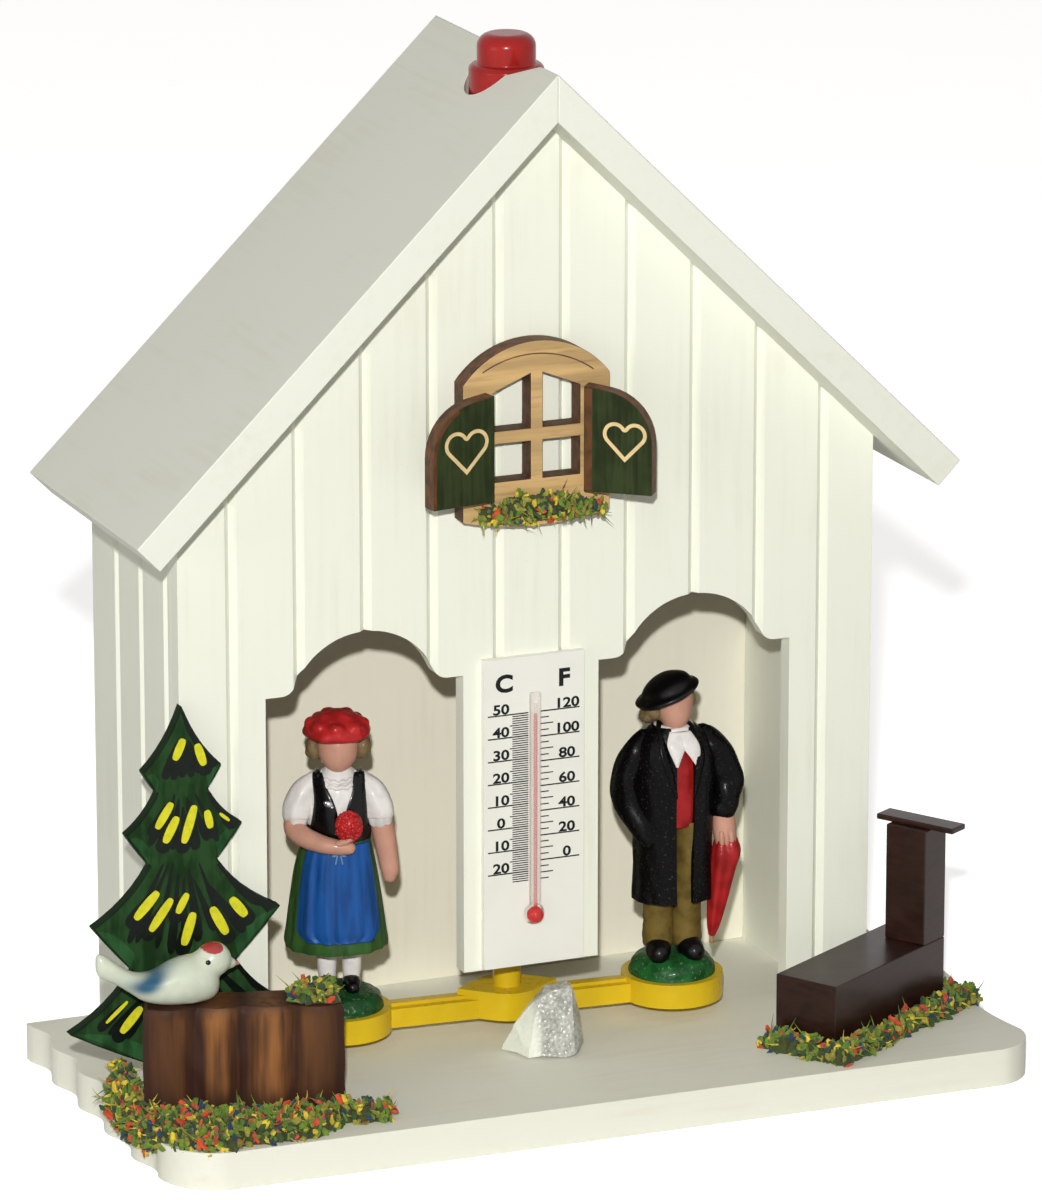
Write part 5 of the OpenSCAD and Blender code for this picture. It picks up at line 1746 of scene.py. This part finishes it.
class WEATHER_OT_studio(Operator):
    """Set the floor, the light and the camera"""

    bl_idname = "weather_house.studio"
    bl_label = "Studio"
    bl_options = {"REGISTER", "UNDO"}

    # Lamp above the camera: its distance, and its shift up and to the right as shares of that
    key_reach = 1.1
    key_up = 0.082
    key_right = -0.012
    side_shift = (-1.15, -0.38, 0.12)
    side_width = 0.7
    lamp_tone = (1, 0.995, 0.96)
    fill_tone = (1.0, 0.93, 0.85)
    floor_reach = 4.0
    floor_glow = 0.73
    sensor = 36

    def execute(self, context):
        studio = context.scene.weather_house.studio
        scene = context.scene
        scene.view_settings.view_transform = "Standard"
        self.floor(studio)
        self.world(studio)
        aim, eye = Vector(studio.aim), Vector(studio.eye)
        back = (eye - aim).normalized()
        right = Vector((0, 0, 1)).cross(back).normalized()
        up = back.cross(right)
        key = aim + (back + up * self.key_up + right * self.key_right) * self.key_reach
        self.lamp("key", key, aim, studio.lamp, studio.key)
        self.lamp("side", aim + Vector(self.side_shift), aim, self.side_width, studio.side)
        camera = bpy.data.cameras.new("camera")
        camera.lens = studio.lens
        camera.sensor_width = self.sensor
        camera.clip_start = 0.05
        camera.clip_end = 20
        scene.camera = self.facing("camera", camera, eye, aim)
        return {"FINISHED"}

    def seen(self, f):
        """1 for what the camera sees, straight or by gloss or through glass."""
        paths = [f.add("LightPath", out=name) for name in
                 ("Is Camera Ray", "Is Glossy Ray", "Is Transmission Ray")]
        either = f.add("Math", {"operation": "MAXIMUM"}, {0: paths[0], 1: paths[1]})
        return f.add("Math", {"operation": "MAXIMUM"}, {0: either, 1: paths[2]})

    def floor(self, studio):
        """Pale floor that looks white and keeps the object's shadow."""
        f = finish("floor")
        cloud = f.noise(60, detail=3)
        shade = f.mix(f.fade(cloud, 0.3, 0.7), scaled(studio.floor, 0.985), tuple(studio.floor))
        plain = f.add("BsdfDiffuse", {}, {"Color": shade, "Roughness": 0.6})
        glow = f.add("Emission", {}, {"Color": (1, 1, 1), "Strength": self.floor_glow})
        bright = f.add("AddShader", {}, {0: plain, 1: glow})
        surface = f.add("MixShader", {}, {0: self.seen(f), 1: plain, 2: bright})
        f.add("OutputMaterial", {}, {"Surface": surface})
        bm = bmesh.new()
        reach = self.floor_reach
        corners = ((-reach, -reach), (reach, -reach), (reach, reach), (-reach, reach))
        bm.faces.new([bm.verts.new((x, y, 0)) for x, y in corners])
        mesh = bpy.data.meshes.new("floor")
        bm.to_mesh(mesh)
        bm.free()
        mesh.materials.append(f.owner)
        made = bpy.data.objects.new("floor", mesh)
        bpy.context.scene.collection.objects.link(made)

    def world(self, studio):
        """White backdrop, and a weak even light from all round."""
        world = bpy.data.worlds.new("studio")
        bpy.context.scene.world = world
        f = Finish(world)
        white = f.add("Background", {}, {"Color": (1, 1, 1), "Strength": 1.0})
        fill = f.add("Background", {}, {"Color": self.fill_tone, "Strength": studio.fill})
        surface = f.add("MixShader", {}, {0: self.seen(f), 1: fill, 2: white})
        f.add("OutputWorld", {}, {"Surface": surface})

    def facing(self, name, data, place, aim):
        """Set a lamp or the camera down so that it faces a point."""
        holder = bpy.data.objects.new(name, data)
        holder.location = place
        holder.rotation_euler = (aim - place).to_track_quat("-Z", "Y").to_euler()
        bpy.context.scene.collection.objects.link(holder)
        return holder

    def lamp(self, name, place, aim, width, power):
        """One round lamp that faces the object."""
        lamp = bpy.data.lights.new(name, "AREA")
        lamp.shape = "DISK"
        lamp.size = width
        lamp.energy = power
        lamp.color = self.lamp_tone
        self.facing(name, lamp, place, aim)


STEPS = (
    WEATHER_OT_woodwork, WEATHER_OT_works, WEATHER_OT_thermometer, WEATHER_OT_window, WEATHER_OT_fir,
    WEATHER_OT_stump, WEATHER_OT_bird, WEATHER_OT_moss, WEATHER_OT_well, WEATHER_OT_woman, WEATHER_OT_man,
    WEATHER_OT_studio,
)
GROUPS = (
    HouseLook, WorksLook, ThermometerLook, WindowLook, GardenLook, FigureLook, StudioLook, WeatherHouse,
)


class WEATHER_PT_steps(Panel):
    """List of the steps that dress the weather house"""

    bl_idname = "WEATHER_PT_steps"
    bl_label = "Weather house"
    bl_space_type = "VIEW_3D"
    bl_region_type = "UI"
    bl_category = "Weather house"

    def draw(self, context):
        look = context.scene.weather_house
        for step in STEPS:
            self.layout.operator(step.bl_idname)
        for group in ("house", "works", "thermometer", "window", "garden", "figures", "studio"):
            box = self.layout.box()
            box.label(text=group.title())
            for name in getattr(look, group).__annotations__:
                box.prop(getattr(look, group), name)


def register():
    for kind in (*GROUPS, *STEPS, WEATHER_PT_steps):
        bpy.utils.register_class(kind)
    bpy.types.Scene.weather_house = PointerProperty(type=WeatherHouse)


def unregister():
    del bpy.types.Scene.weather_house
    for kind in reversed((*GROUPS, *STEPS, WEATHER_PT_steps)):
        bpy.utils.unregister_class(kind)


def main():
    register()
    for step in STEPS:
        group, name = step.bl_idname.split(".")
        getattr(getattr(bpy.ops, group), name)()
    bpy.context.view_layer.update()


if __name__ == "__main__":
    main()
